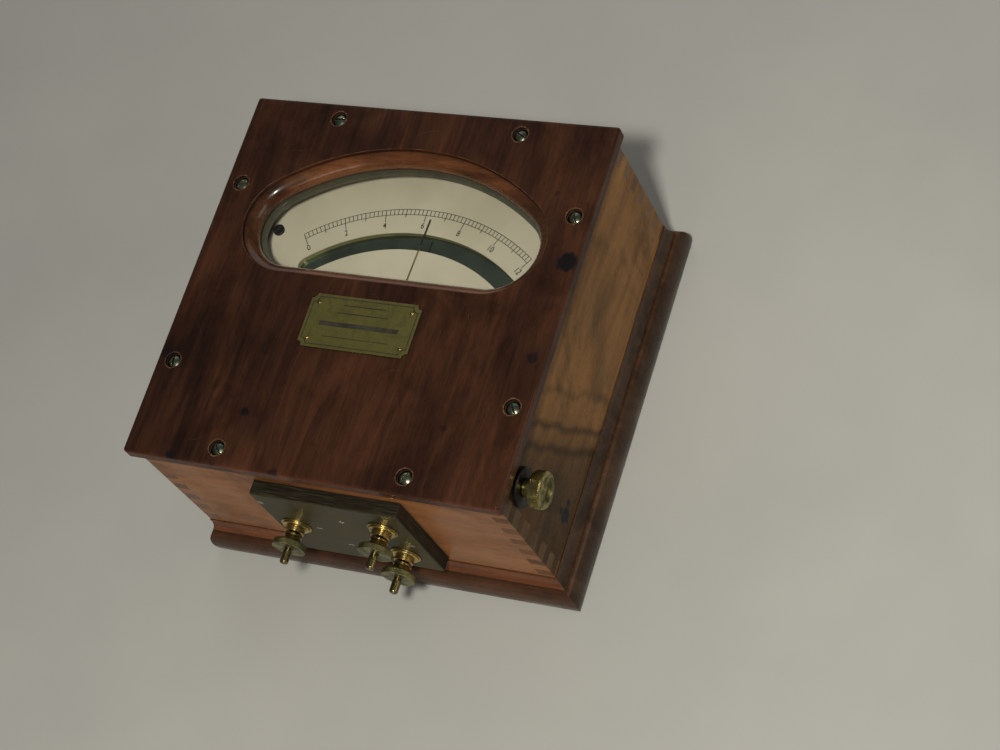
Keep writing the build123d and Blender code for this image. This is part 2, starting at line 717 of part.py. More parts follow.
def spring_stud_place(angle):
    """Where a hairspring's outer stud stands, at an angle round the movement's axis."""
    r = SPRING_OUT_R + STUD_R
    return (r * cos(radians(angle)), AXIS_Y + r * sin(radians(angle)))


# ---------------------------------------------------------------- magnet and bridges

def magnet():
    """The horseshoe magnet, lying flat with its bend under the dial."""
    height = MAGNET_HIGH - MAGNET_LOW
    outer = disc(0, BEND_Y, MAGNET_LOW, MAGNET_HIGH, LIMB_OUT)
    outer &= block(-LIMB_OUT, LIMB_OUT, BEND_Y, BEND_Y + LIMB_OUT, MAGNET_LOW, MAGNET_HIGH)
    outer += block(-LIMB_OUT, LIMB_OUT, AXIS_Y - 18, BEND_Y, MAGNET_LOW, MAGNET_HIGH)
    gap = disc(0, BEND_Y, MAGNET_LOW - 1, MAGNET_LOW + height + 1, LIMB_IN)
    gap += block(-LIMB_IN, LIMB_IN, AXIS_Y - 19, BEND_Y, MAGNET_LOW - 1, MAGNET_HIGH + 1)
    return outer - gap


def pole_pieces():
    """Two iron pole pieces with a round bore for the coil."""
    poles = []
    bore = disc(0, AXIS_Y, MAGNET_LOW - 1, MAGNET_HIGH + 1, BORE_R)
    for side in (-1, 1):
        x0, x1 = sorted((side * POLE_IN_X, side * (LIMB_IN - GLUE_GAP)))
        pole = block(x0, x1, AXIS_Y - POLE_HALF_Y, AXIS_Y + POLE_HALF_Y, MAGNET_LOW, MAGNET_HIGH) - bore
        for z0, z1 in ((MAGNET_LOW - 1, MAGNET_LOW + 6), (MAGNET_HIGH - 6, MAGNET_HIGH + 1)):
            pole -= disc(side * PILLAR_X, AXIS_Y, z0, z1, MEDIUM_SCREW_R + GLUE_GAP)
        pole -= core_screw(side * CORE_SCREW_X, 6.5, GLUE_GAP)
        poles.append(pole)
    return poles


def core_screw(x, length, gap=0.0):
    """The shank of a screw that runs +Y from the core bracket's face."""
    y = AXIS_Y - POLE_HALF_Y - CORE_BAR_T
    z = (MAGNET_LOW + MAGNET_HIGH) / 2
    return rod((x, y - 0.1, z), (x, y + CORE_BAR_T + length, z), MEDIUM_SCREW_R + gap)


def iron_core():
    """The soft-iron core inside the coil, tapped for its bracket's screw."""
    core = disc(0, AXIS_Y, MAGNET_LOW - CORE_OVER, MAGNET_HIGH + CORE_OVER, CORE_R)
    return core - core_screw(0, 10, GLUE_GAP)


def core_bracket():
    """The brass bar that bridges the poles and holds the core between them."""
    y1 = AXIS_Y - POLE_HALF_Y
    z0, z1 = MAGNET_LOW + 5, MAGNET_HIGH - 5
    half = CORE_SCREW_X + 5
    bar = block(-half, half, y1 - CORE_BAR_T, y1, z0, z1)
    stem = block(-3, 3, y1 - 1, AXIS_Y - CORE_R + 1, z0, z1)
    bracket = bar + stem - disc(0, AXIS_Y, 0, HEIGHT, CORE_R)
    for x in (-CORE_SCREW_X, 0, CORE_SCREW_X):
        bracket -= core_screw(x, 8, GLUE_GAP)
    return bracket


def upper_bridge():
    """The bridge over the coil, with the boss that the zero arm turns on."""
    z0, z1 = UPPER_BRIDGE_Z, UPPER_BRIDGE_Z + BRIDGE_T
    bar = block(-BRIDGE_HALF, BRIDGE_HALF, AXIS_Y - BRIDGE_HALF_W, AXIS_Y + BRIDGE_HALF_W, z0, z1)
    bridge = bar + disc(0, AXIS_Y, z0, z1 + BOSS_H, BOSS_R)
    bridge -= disc(0, AXIS_Y, z0 - 1, z1 + BOSS_H + 1, JEWEL_SCREW_R + GLUE_GAP)
    for side in (-1, 1):
        bridge -= disc(side * PILLAR_X, AXIS_Y, z0 - 1, z1 + 1, MEDIUM_SCREW_R + GLUE_GAP)
    return bridge


def lower_bridge():
    """The bridge under the coil, with the lower spring's stud."""
    z0, z1 = LOWER_BRIDGE_Z, LOWER_BRIDGE_Z + BRIDGE_T
    bar = block(-BRIDGE_HALF, BRIDGE_HALF, AXIS_Y - BRIDGE_HALF_W, AXIS_Y + BRIDGE_HALF_W, z0, z1)
    stud_x, stud_y = spring_stud_place(0)
    bridge = bar + disc(stud_x, stud_y, z0 + 1, LOWER_SPRING_Z + SPRING_H + 0.4, STUD_R)
    bridge -= disc(0, AXIS_Y, z0 - 1, z1 + 1, JEWEL_SCREW_R + GLUE_GAP)
    for side in (-1, 1):
        bridge -= disc(side * PILLAR_X, AXIS_Y, z0 - 1, z1 + 1, MEDIUM_SCREW_R + GLUE_GAP)
    return bridge


def bridge_pillars():
    """Four turned pillars that hold the bridges off the pole pieces, tapped right through."""
    spans = ((MAGNET_HIGH, UPPER_BRIDGE_Z), (LOWER_BRIDGE_Z + BRIDGE_T, MAGNET_LOW))
    pillars = []
    for side in (-1, 1):
        for z0, z1 in spans:
            pillar = disc(side * PILLAR_X, AXIS_Y, z0, z1, PILLAR_R)
            pillars.append(pillar - disc(side * PILLAR_X, AXIS_Y, z0 - 1, z1 + 1, MEDIUM_SCREW_R + GLUE_GAP))
    return pillars


def cheese_screw(shank_r, length):
    """A small cheese-headed screw, head up, its seat at the origin."""
    return disc(0, 0, 0, 1.6, 2 * shank_r) + disc(0, 0, -length, 0.1, shank_r) - block(-4, 4, -0.3, 0.3, 0.9, 2)


def movement_screws():
    """The cheese-headed screws of the bridges, core bracket, spindle bearing and magnet clamp."""
    screws = []
    top = UPPER_BRIDGE_Z + BRIDGE_T
    for side in (-1, 1):
        above = cheese_screw(MEDIUM_SCREW_R, top - MAGNET_HIGH + 5)
        below = cheese_screw(MEDIUM_SCREW_R, MAGNET_LOW - LOWER_BRIDGE_Z + 5)
        screws.append(Pos(side * PILLAR_X, AXIS_Y, top) * above)
        screws.append(Pos(side * PILLAR_X, AXIS_Y, LOWER_BRIDGE_Z) * Rot(180, 0, 0) * below)
    core_y = AXIS_Y - POLE_HALF_Y - CORE_BAR_T
    core_z = (MAGNET_LOW + MAGNET_HIGH) / 2
    for x, length in ((-CORE_SCREW_X, 9), (0, 12), (CORE_SCREW_X, 9)):
        screws.append(Pos(x, core_y, core_z) * Rot(90, 0, 0) * cheese_screw(MEDIUM_SCREW_R, length))
    for z in bearing_screw_heights():
        seat = Pos(BEARING_X + BEARING_T / 2, -INNER_HALF + 3, z)
        screws.append(seat * Rot(-90, 0, 0) * cheese_screw(SMALL_SCREW_R, 9))
    bolt = cheese_screw(CLAMP_BOLT_R, MAGNET_HIGH + CLAMP_T - MAGNET_LOW + CLAMP_BOLT_IN)
    for side in (-1, 1):
        screws.append(Pos(side * CLAMP_BOLT_X, CLAMP_Y, MAGNET_HIGH + CLAMP_T) * bolt)
    return screws


def jewel_screws():
    """The two screws with jewelled ends that the coil's pivots turn in."""
    upper = disc(0, AXIS_Y, UPPER_BRIDGE_Z - 1.2, UPPER_BRIDGE_Z + BRIDGE_T + BOSS_H + 2, JEWEL_SCREW_R)
    upper -= disc(0, AXIS_Y, 0, UPPER_BRIDGE_Z - 1.2 + JEWEL_DEPTH, JEWEL_R)
    upper -= block(-3, 3, AXIS_Y - 0.3, AXIS_Y + 0.3, UPPER_BRIDGE_Z + BRIDGE_T + BOSS_H + 1.2, HEIGHT)
    lower = disc(0, AXIS_Y, LOWER_BRIDGE_Z - 3, LOWER_BRIDGE_Z + BRIDGE_T + 3, JEWEL_SCREW_R)
    lower -= disc(0, AXIS_Y, LOWER_BRIDGE_Z + BRIDGE_T + 3 - JEWEL_DEPTH, HEIGHT, JEWEL_R)
    lower -= block(-3, 3, AXIS_Y - 0.3, AXIS_Y + 0.3, 0, LOWER_BRIDGE_Z - 2.2)
    return upper, lower


def magnet_blocks():
    """Wooden blocks that carry the magnet's limbs: two by the poles, two wider ones for the clamp."""
    blocks = []
    for side in (-1, 1):
        for x_out, y0, y1 in ((LIMB_OUT - 1, -64, -34), (CLAMP_HALF, -10, 20)):
            x0, x1 = sorted((side * (LIMB_IN + 2), side * x_out))
            wood = block(x0, x1, y0, y1, BASE_T, MAGNET_LOW)
            hole = disc(0, CLAMP_Y, MAGNET_LOW - CLAMP_BOLT_IN - 1, HEIGHT, CLAMP_BOLT_R + GLUE_GAP)
            blocks.append(wood - Pos(side * CLAMP_BOLT_X, 0, 0) * hole)
    return blocks


def magnet_clamp():
    """The brass strap across the magnet."""
    top = MAGNET_HIGH + CLAMP_T
    strap = block(-CLAMP_HALF, CLAMP_HALF, CLAMP_Y - 5, CLAMP_Y + 5, MAGNET_HIGH, top)
    for side in (-1, 1):
        strap -= disc(side * CLAMP_BOLT_X, CLAMP_Y, MAGNET_HIGH - 1, top + 1, CLAMP_BOLT_R + GLUE_GAP)
    return strap


# ---------------------------------------------------------------- moving coil

def on_coil(shape):
    """Put a piece drawn about its own axis, pointer along +Y, on the movement at rest."""
    return Pos(0, AXIS_Y, 0) * Rot(0, 0, REST_ANGLE) * shape


def coil_frame(x_in, x_out, z_in_low, z_in_high, half_width):
    """A rectangular hoop about the axis, its legs on +X and -X."""
    wall = x_out - x_in
    hoop = block(-x_out, x_out, -half_width, half_width, z_in_low - wall, z_in_high + wall)
    return hoop - block(-x_in, x_in, -half_width - 1, half_width + 1, z_in_low, z_in_high)


def coil_former():
    """The light metal frame that the coil is wound on."""
    return on_coil(coil_frame(FORMER_IN, FORMER_IN + FORMER_T, COIL_BOTTOM, COIL_TOP, COIL_HALF_W + 0.3))


def coil_winding():
    """The winding, taken as one closed band round the former."""
    inner = FORMER_IN + FORMER_T
    low, high = COIL_BOTTOM - FORMER_T, COIL_TOP + FORMER_T
    return on_coil(coil_frame(inner, inner + WINDING_T, low, high, COIL_HALF_W))


def pivot_staffs():
    """The upper and lower staffs: a pad on the winding, and a fine rod to the jewel."""
    high = COIL_TOP + FORMER_T + WINDING_T
    low = COIL_BOTTOM - FORMER_T - WINDING_T
    tip_high = UPPER_BRIDGE_Z - 1.2 + JEWEL_DEPTH - 0.3
    tip_low = LOWER_BRIDGE_Z + BRIDGE_T + 3 - JEWEL_DEPTH + 0.3
    upper = disc(0, 0, high, high + 1.2, 2.6) + disc(0, 0, high, tip_high, STAFF_R)
    lower = disc(0, 0, low - 1.2, low, 2.6) + disc(0, 0, tip_low, low, STAFF_R)
    return on_coil(upper), on_coil(lower)


def spring_collets():
    """The collets that hold the hairsprings' inner ends on the staffs."""
    collets = []
    for z in (UPPER_SPRING_Z, LOWER_SPRING_Z):
        ring = disc(0, 0, z - 0.3, z + SPRING_H + 0.3, COLLET_R) - disc(0, 0, z - 1, z + 2, STAFF_R + GLUE_GAP)
        collets.append(on_coil(ring))
    return collets


def hairspring(z, stud_angle):
    """A flat spiral strip, wound in from its outer stud."""
    steps = 24 * SPRING_TURNS
    sides = []
    for shift in (-SPRING_T, 0):
        points = []
        for i in range(steps + 1):
            r = SPRING_OUT_R + shift - (SPRING_OUT_R - SPRING_IN_R - SPRING_T) * i / steps
            a = radians(stud_angle) + 2 * pi * SPRING_TURNS * i / steps
            points.append((r * cos(a), AXIS_Y + r * sin(a), z))
        sides.append(points)
    inner, outer = sides
    edges = [Spline(*inner), Line(inner[-1], outer[-1]), Spline(*outer[::-1]), Line(outer[0], inner[0])]
    return extrude(make_face(edges), amount=SPRING_H, dir=(0, 0, 1))


def balance_cross():
    """The hub on the staff, with two side arms and a tail for the balance nuts."""
    hub = disc(0, 0, POINTER_Z - 1.2, POINTER_Z + 0.8, 3.0) - disc(0, 0, 0, HEIGHT, STAFF_R + GLUE_GAP)
    arms = [(0, -15.5), (-11.5, 0), (11.5, 0)]
    for x, y in arms:
        reach = sqrt(x * x + y * y)
        hub += rod((x / reach * 2, y / reach * 2, POINTER_Z), (x, y, POINTER_Z), 0.5)
    return on_coil(hub)


def balance_nuts():
    """One nut on each arm of the balance cross."""
    nuts = []
    for x, y, r in ((0, -1, 12.0), (-1, 0, 8.0), (1, 0, 8.0)):
        start = (x * r, y * r, POINTER_Z)
        end = (x * (r + 2.4), y * (r + 2.4), POINTER_Z)
        bore_start = (x * (r - 1), y * (r - 1), POINTER_Z)
        bore_end = (x * (r + 4), y * (r + 4), POINTER_Z)
        nuts.append(on_coil(rod(start, end, 1.5) - rod(bore_start, bore_end, 0.5 + GLUE_GAP)))
    return nuts


def pointer_stem():
    """The tapered brass stem, from the hub to the flag."""
    root, tip = 0.4, 0.16
    points = [(-root, 2.99), (root, 2.99), (tip, FLAG_R), (-tip, FLAG_R)]
    blade = extrude(make_face(Polyline(*points, close=True)), amount=0.5)
    blade = Pos(0, 0, POINTER_Z - 0.25) * blade
    return on_coil(blade - disc(0, 0, 0, HEIGHT, 3.0 + GLUE_GAP))


def pointer_flag():
    """The blackened knife-edge blade at the pointer's end."""
    return on_coil(block(-0.2, 0.2, FLAG_R + GLUE_GAP, POINTER_TIP_R, POINTER_Z - 0.45, POINTER_Z + 0.35))


# ---------------------------------------------------------------- resistances and wires

def resistance_bobbins():
    """Two wooden bobbins glued to the baseboard."""
    top = BASE_T + BOBBIN_H
    bobbins = []
    for side in (-1, 1):
        x = side * BOBBIN_X
        spool = disc(x, BOBBIN_Y, BASE_T, top, BOBBIN_CORE_R) + disc(x, BOBBIN_Y, BASE_T, BASE_T + 3, BOBBIN_R)
        bobbins.append(spool + disc(x, BOBBIN_Y, top - 3, top, BOBBIN_R))
    return bobbins


def resistance_windings():
    """The windings on the bobbins, each taken as one closed tube."""
    tubes = []
    for side in (-1, 1):
        x = side * BOBBIN_X
        tube = disc(x, BOBBIN_Y, BASE_T + 3.2, BASE_T + BOBBIN_H - 3.2, WOUND_R)
        tubes.append(tube - disc(x, BOBBIN_Y, BASE_T, HEIGHT, BOBBIN_CORE_R + GLUE_GAP))
    return tubes


def stiff_wire(points):
    """A bent copper wire through the given points."""
    path = FilletPolyline(*points, radius=WIRE_BEND)
    start = Plane(origin=path @ 0, z_dir=path % 0)
    return sweep(start * Circle(WIRE_R), path=path)


def connecting_wires():
    """The stiff wires from the studs to the bobbins and to the movement's frame."""
    tail = -CASE_HALF + STUD_TAIL + 0.05
    bobbin_z = BASE_T + 15
    wires = []
    for name, (x, z) in TERMINALS.items():
        if name == "upper":
            ends = [(PILLAR_X, WIRE_LANE, z), (PILLAR_X, AXIS_Y - PILLAR_R - 0.1, z)]
        else:
            far = -BOBBIN_X if x < 0 else BOBBIN_X
            ends = [(far, WIRE_LANE, z), (far, WIRE_LANE, bobbin_z), (far, BOBBIN_Y - WOUND_R - 0.1, bobbin_z)]
        wires.append(stiff_wire([(x, tail, z), (x, WIRE_LANE, z), *ends]))
    return wires


# ---------------------------------------------------------------- files

def main():
    os.makedirs("parts", exist_ok=True)
    save("baseboard", baseboard())
    save("cove_moulding", *cove_moulding())
    save("wall_left", pilot_holes(side_wall(-1)))
    save("wall_right", knob_wall())
    save("wall_terminal", terminal_wall())
    save("wall_rear", pilot_holes(end_wall(1)))
    save("front_panel", front_panel())
    save("panel_screws", *panel_screws())
    save("base_screws", *base_screws())
    save("window_moulding", window_moulding())
    save("window_glass", window_glass())
    save("glass_retainer", glass_retainer())
    save("plaque", plaque())
    save("plaque_pins", *plaque_pins())
    save("dial_plate", dial_plate())
    save("dial_card", dial_card())
    save("mirror_strip", mirror_strip())
    save("dial_bearers", *dial_bearers())
    save("dial_screws", *dial_screws())
    save("terminal_block", terminal_block())
    for name, (x, z) in TERMINALS.items():
        save(f"terminal_stud_{name}", terminal_stud(x, z))
        save(f"clamp_ferrule_{name}", clamp_ferrule(x, z))
        save(f"thumb_nut_{name}", thumb_nut(x, z))
    save("terminal_back_nuts", *terminal_back_nuts())
    save("knob", knob())
    save("knob_collar", knob_collar())
    save("zero_spindle", zero_spindle())
    save("eccentric", eccentric())
    save("spindle_bearing", spindle_bearing())
    save("zero_arm", zero_arm())
    save("magnet", magnet())
    save("pole_pieces", *pole_pieces())
    save("iron_core", iron_core())
    save("core_bracket", core_bracket())
    save("upper_bridge", upper_bridge())
    save("lower_bridge", lower_bridge())
    save("bridge_pillars", *bridge_pillars())
    save("movement_screws", *movement_screws())
    save("jewel_screws", *jewel_screws())
    save("magnet_blocks", *magnet_blocks())
    save("magnet_clamp", magnet_clamp())
    save("coil_former", coil_former())
    save("coil_winding", coil_winding())
    save("pivot_staffs", *pivot_staffs())
    save("spring_collets", *spring_collets())
    save("hairspring_upper", hairspring(UPPER_SPRING_Z, 140))
    save("hairspring_lower", hairspring(LOWER_SPRING_Z, 0))
    save("balance_cross", balance_cross())
    save("balance_nuts", *balance_nuts())
    save("pointer_stem", pointer_stem())
    save("pointer_flag", pointer_flag())
    save("resistance_bobbins", *resistance_bobbins())
    save("resistance_windings", *resistance_windings())
    save("connecting_wires", *connecting_wires())


main()
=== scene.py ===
import json
from math import cos, pi, radians, sin

import bmesh
import bpy
from mathutils import Matrix, Vector


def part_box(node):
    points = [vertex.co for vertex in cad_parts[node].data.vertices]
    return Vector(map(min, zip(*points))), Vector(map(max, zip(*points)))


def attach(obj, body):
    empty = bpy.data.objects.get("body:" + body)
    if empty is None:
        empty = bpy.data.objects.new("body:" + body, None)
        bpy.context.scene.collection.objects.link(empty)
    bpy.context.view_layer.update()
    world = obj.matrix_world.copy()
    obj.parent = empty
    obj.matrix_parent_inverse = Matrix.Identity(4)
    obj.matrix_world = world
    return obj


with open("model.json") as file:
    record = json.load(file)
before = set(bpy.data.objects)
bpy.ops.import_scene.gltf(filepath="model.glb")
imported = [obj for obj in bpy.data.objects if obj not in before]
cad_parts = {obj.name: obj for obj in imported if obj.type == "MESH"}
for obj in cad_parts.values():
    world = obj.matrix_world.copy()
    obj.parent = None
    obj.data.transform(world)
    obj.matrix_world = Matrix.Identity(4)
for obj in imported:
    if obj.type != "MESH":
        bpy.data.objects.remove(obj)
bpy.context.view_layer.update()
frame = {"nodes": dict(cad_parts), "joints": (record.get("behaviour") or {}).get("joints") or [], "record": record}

MM = 0.001
NODES = frame["nodes"]


# ---------------------------------------------------------------- node material toolkit

class Paint:
    """A Principled material under construction, with textures in object space measured in millimetres."""

    def __init__(self, name):
        self.data = bpy.data.materials.new(name)
        self.data.use_nodes = True
        self.tree = self.data.node_tree
        self.shader = self.tree.nodes["Principled BSDF"]
        coordinates = self.tree.nodes.new("ShaderNodeTexCoord")
        self.place = self.vector("SCALE", coordinates.outputs["Object"], scale=1 / MM)
        self.normal = coordinates.outputs["Normal"]

    def feed(self, socket, value):
        """Link a node's output to a socket, or set the socket to a plain value."""
        if isinstance(value, bpy.types.NodeSocket):
            self.tree.links.new(value, socket)
        elif socket.type == "RGBA" and len(value) == 3:
            socket.default_value = (*value, 1)
        else:
            socket.default_value = value

    def set(self, **values):
        """Feed the shader's sockets, named with underscores for spaces."""
        for name, value in values.items():
            self.feed(self.shader.inputs[name.replace("_", " ")], value)
        return self

    def vector(self, operation, a, b=None, scale=None):
        node = self.tree.nodes.new("ShaderNodeVectorMath")
        node.operation = operation
        self.feed(node.inputs[0], a)
        if b is not None:
            self.feed(node.inputs[1], b)
        if scale is not None:
            self.feed(node.inputs["Scale"], scale)
        return node.outputs["Value" if operation in ("DISTANCE", "LENGTH", "DOT_PRODUCT") else "Vector"]

    def math(self, operation, a, b=0.0):
        node = self.tree.nodes.new("ShaderNodeMath")
        node.operation = operation
        self.feed(node.inputs[0], a)
        self.feed(node.inputs[1], b)
        return node.outputs[0]

    def noise(self, per_mm, detail=4, rough=0.55, warp=0.0, shift=(0, 0, 0)):
        """Noise with this many cycles per millimetre along each axis."""
        scaled = self.vector("MULTIPLY", self.place, per_mm)
        moved = self.vector("ADD", scaled, shift)
        node = self.tree.nodes.new("ShaderNodeTexNoise")
        self.feed(node.inputs["Vector"], moved)
        node.inputs["Scale"].default_value = 1
        node.inputs["Detail"].default_value = detail
        node.inputs["Roughness"].default_value = rough
        node.inputs["Distortion"].default_value = warp
        return node.outputs["Fac"]

    def band(self, value, low, high, to_low=0.0, to_high=1.0):
        """A smooth step of a value from low to high."""
        node = self.tree.nodes.new("ShaderNodeMapRange")
        node.interpolation_type = "SMOOTHSTEP"
        for name, number in (("Value", value), ("From Min", low), ("From Max", high),
                             ("To Min", to_low), ("To Max", to_high)):
            self.feed(node.inputs[name], number)
        return node.outputs["Result"]

    def mix(self, a, b, factor, blend="MIX"):
        """Mix two colours."""
        node = self.tree.nodes.new("ShaderNodeMix")
        node.data_type = "RGBA"
        node.blend_type = blend
        self.feed(node.inputs[0], factor)
        self.feed(node.inputs[6], a)
        self.feed(node.inputs[7], b)
        return node.outputs[2]

    def ramp(self, value, *stops):
        """A colour ramp with (position, colour) stops."""
        node = self.tree.nodes.new("ShaderNodeValToRGB")
        self.feed(node.inputs[0], value)
        for i, (position, colour) in enumerate(stops):
            stop = node.color_ramp.elements[i] if i < 2 else node.color_ramp.elements.new(position)
            stop.position = position
            stop.color = (*colour, 1)
        return node.outputs["Color"]

    def axis(self, name, of=None):
        """One coordinate of the place in millimetres, or of another vector."""
        node = self.tree.nodes.new("ShaderNodeSeparateXYZ")
        self.feed(node.inputs[0], of or self.place)
        return node.outputs[name]

    def facing(self, name, low=0.55, high=0.8):
        """1 on faces that look along the named axis, either way."""
        return self.band(self.math("ABSOLUTE", self.axis(name, self.normal)), low, high)

    def soft_normal(self, radius):
        """The normal with every sharp edge rounded to this radius in millimetres."""
        node = self.tree.nodes.new("ShaderNodeBevel")
        node.samples = 6
        node.inputs["Radius"].default_value = radius * MM
        return node.outputs["Normal"]

    def openness(self, reach):
        """1 in the open, less in corners and crevices within this reach in millimetres."""
        node = self.tree.nodes.new("ShaderNodeAmbientOcclusion")
        node.samples = 6
        node.inputs["Distance"].default_value = reach * MM
        return node.outputs["AO"]

    def edges(self, radius, low=0.02, high=0.25):
        """1 along outward edges within this radius, 0 on open faces and in inner corners."""
        geometry = self.tree.nodes.new("ShaderNodeNewGeometry")
        along = self.vector("DOT_PRODUCT", self.soft_normal(radius), geometry.outputs["Normal"])
        edge = self.band(self.math("SUBTRACT", 1.0, along), low, high)
        return self.math("MULTIPLY", edge, self.band(self.openness(radius), 0.6, 0.85))

    def marks(self, colour, marks, ink=(0.006, 0.006, 0.008)):
        """Put ragged dark spots, given as (centre, size, strength), over a colour."""
        ragged = self.noise((0.35, 0.35, 0.35), detail=4)
        for centre, size, strength in marks:
            distance = self.vector("DISTANCE", self.place, centre)
            reach = self.math("ADD", distance, self.math("MULTIPLY", ragged, size * 0.9))
            mark = self.band(reach, size * 1.4, size * 0.95, 0.0, strength)
            colour = self.mix(colour, ink, mark)
        return colour

    def bump(self, height, depth, normal=None):
        """A bump of this depth in millimetres."""
        node = self.tree.nodes.new("ShaderNodeBump")
        node.inputs["Strength"].default_value = 1
        node.inputs["Distance"].default_value = depth * MM
        self.feed(node.inputs["Height"], height)
        if normal is not None:
            self.feed(node.inputs["Normal"], normal)
        return node.outputs["Normal"]


def cycles(along, across, fine):
    """Cycles per millimetre: fine along the named axis, and across the other two."""
    return tuple(fine if axis == along else across for axis in "XYZ")


def shade(tones, amount):
    """A palette made darker or lighter."""
    return tuple(tuple(c * amount for c in tone) for tone in tones)


# ---------------------------------------------------------------- wood

TONE_STOPS = (0.36, 0.5, 0.64)
FIBRE_TINT = (0.30, 0.30, 0.30)
PORE_TINT = (0.12, 0.12, 0.12)
CLOUD_TINT = (0.42, 0.45, 0.50)
SOOT_TINT = (0.22, 0.22, 0.24)
# painted shade: the tint multiplied over a wall's colour where shade is painted
PAINTED_SHADE_TINT = (0.30, 0.30, 0.28)
# grime and painted shade, mixed into the wood's corners and crevices
WOOD_GRIME_AND_SHADE = (0.010, 0.009, 0.007)
WORN_EDGE = 0.9
SOFT_EDGE = 0.35
GRAIN_DEPTH = 0.035
WANDER = 25.0
WAVE = 14.0
LEAN = 0.4
WALL_MIDDLE = 65.0
# painted dark reflections across the side wall: (centre, half width, strength) along the leaning distance
REFLECTION_BANDS = ((-17.0, 4.0, 0.4), (-36.0, 4.0, 0.8), (-48.0, 4.5, 0.8))
RING_OUT = 6.0
RING_IN = 5.6
RING_RAGGED = 2.4


def wood(name, along, tones, end_tones=None, gloss=0.25, coat=0.12, shine=0.22, wear=(0.20, 0.11, 0.06),
         stains=(), shift=0.0, rings=False, raw=False, painted_shade=None):
    """Mahogany with its grain along one axis: end grain, polish unless raw, wear, grime and painted shade in
    crevices, stains, and painted shade towards the sides or the foot if given.
    """
    paint = Paint(name)
    offset = (shift, shift * 1.7, shift * 0.6)
    fibre = paint.noise(cycles(along, 3.0, 0.08), detail=5, rough=0.65, shift=offset)
    pores = paint.noise(cycles(along, 4.5, 0.25), detail=3, rough=0.6, warp=0.2, shift=offset)
    pore_mask = paint.band(pores, 0.60, 0.70)
    cloud = paint.noise((0.022, 0.022, 0.022), detail=4, rough=0.65, warp=0.6, shift=offset)

    colour = figured(paint, along, tones, end_tones, offset)
    colour = paint.mix(colour, FIBRE_TINT, paint.band(fibre, 0.42, 0.74, 0.0, 0.55), "MULTIPLY")
    colour = paint.mix(colour, PORE_TINT, paint.math("MULTIPLY", pore_mask, 0.7), "MULTIPLY")
    if not raw:
        colour = aged(paint, colour, cloud, wear, offset)
    # painted shade towards the sides or the foot, where less light falls
    if painted_shade:
        colour = dimmed(paint, colour, cloud, painted_shade)
    colour = rubbed(paint, colour, wear, rings)
    # grime and painted shade: darker in corners and crevices within 2.5 mm
    colour = paint.mix(colour, WOOD_GRIME_AND_SHADE, paint.band(paint.openness(2.5), 0.9, 0.45, 0.0, 0.75))
    colour = paint.marks(colour, stains)

    height = paint.math("SUBTRACT", paint.math("MULTIPLY", fibre, 0.35), pore_mask)
    normal = paint.bump(height, GRAIN_DEPTH, paint.soft_normal(SOFT_EDGE))
    paint.set(Base_Color=colour, Roughness=hazed(paint, gloss), Normal=normal)
    paint.set(Coat_Weight=coat, Coat_Roughness=0.10, Coat_IOR=1.5)
    return paint.set(IOR=1.45, Specular_IOR_Level=shine).data


def figured(paint, along, tones, end_tones, offset):
    """The wood's colour: broad figure and stripes from a palette, and another palette on its end grain."""
    figure = paint.noise(cycles(along, 0.045, 0.010), detail=4, rough=0.55, warp=1.2, shift=offset)
    stripe = paint.noise(cycles(along, 0.40, 0.012), detail=4, rough=0.6, warp=0.5, shift=offset)
    tone = paint.math("ADD", paint.math("MULTIPLY", figure, 0.7), paint.math("MULTIPLY", stripe, 0.3))
    colour = paint.ramp(tone, *zip(TONE_STOPS, tones))
    if end_tones:
        across = paint.ramp(tone, *zip(TONE_STOPS, end_tones))
        colour = paint.mix(colour, across, paint.facing(along))
    return colour


def aged(paint, colour, cloud, wear, offset):
    """A colour under old polish, with clouds, sooty specks and hairline scratches."""
    soot = paint.noise((0.10, 0.10, 0.10), detail=6, rough=0.7, warp=0.6, shift=offset)
    colour = paint.mix(colour, CLOUD_TINT, paint.band(cloud, 0.46, 0.72, 0.0, 0.75), "MULTIPLY")
    colour = paint.mix(colour, SOOT_TINT, paint.band(soot, 0.60, 0.80, 0.0, 0.6), "MULTIPLY")
    return paint.mix(colour, wear, hairlines(paint, offset))


def dimmed(paint, colour, cloud, painted_shade):
    """Painted shade over a colour, darker towards the sides or the foot: the argument is (which, start, full,
    depth).
    """
    towards, clean_at, dim_at, depth = painted_shade
    place = paint.math("ABSOLUTE", paint.axis("X")) if towards == "sides" else leaning(paint)
    wander = paint.math("MULTIPLY", paint.math("SUBTRACT", cloud, 0.5), WANDER)
    dark = paint.band(paint.math("ADD", place, wander), clean_at, dim_at, 0.0, depth)
    result = paint.mix(colour, PAINTED_SHADE_TINT, dark, "MULTIPLY")
    # painted dark reflections in the polish, towards the foot
    if towards == "foot":
        result = smears(paint, result)
    return paint.mix(result, colour, paint.facing("Y"))


def rubbed(paint, colour, wear, rings):
    """A colour with its edges worn in patches, and chipped rings if the piece has counterbores."""
    patches = paint.noise((0.22, 0.22, 0.22), detail=5, rough=0.75)
    patchy = paint.band(patches, 0.40, 0.60, 0.15, 0.85)
    colour = paint.mix(colour, wear, paint.math("MULTIPLY", paint.edges(WORN_EDGE), patchy))
    return paint.mix(colour, wear, chipped_rings(paint)) if rings else colour


def hazed(paint, gloss):
    """A polish's roughness, hazed in patches and scratched."""
    patches = paint.noise((0.03, 0.05, 0.03), detail=5, rough=0.7)
    haze = paint.band(patches, 0.35, 0.7, gloss, gloss + 0.22)
    scratch = paint.noise((0.9, 0.05, 0.9), detail=2, rough=0.4, warp=1.5)
    return paint.math("ADD", haze, paint.band(scratch, 0.66, 0.72, 0.0, 0.12))


def leaning(paint):
    """A distance along Y that leans with height, so that what follows it slopes across a wall."""
    height = paint.math("SUBTRACT", paint.axis("Z"), WALL_MIDDLE)
    return paint.math("ADD", paint.axis("Y"), paint.math("MULTIPLY", height, LEAN))


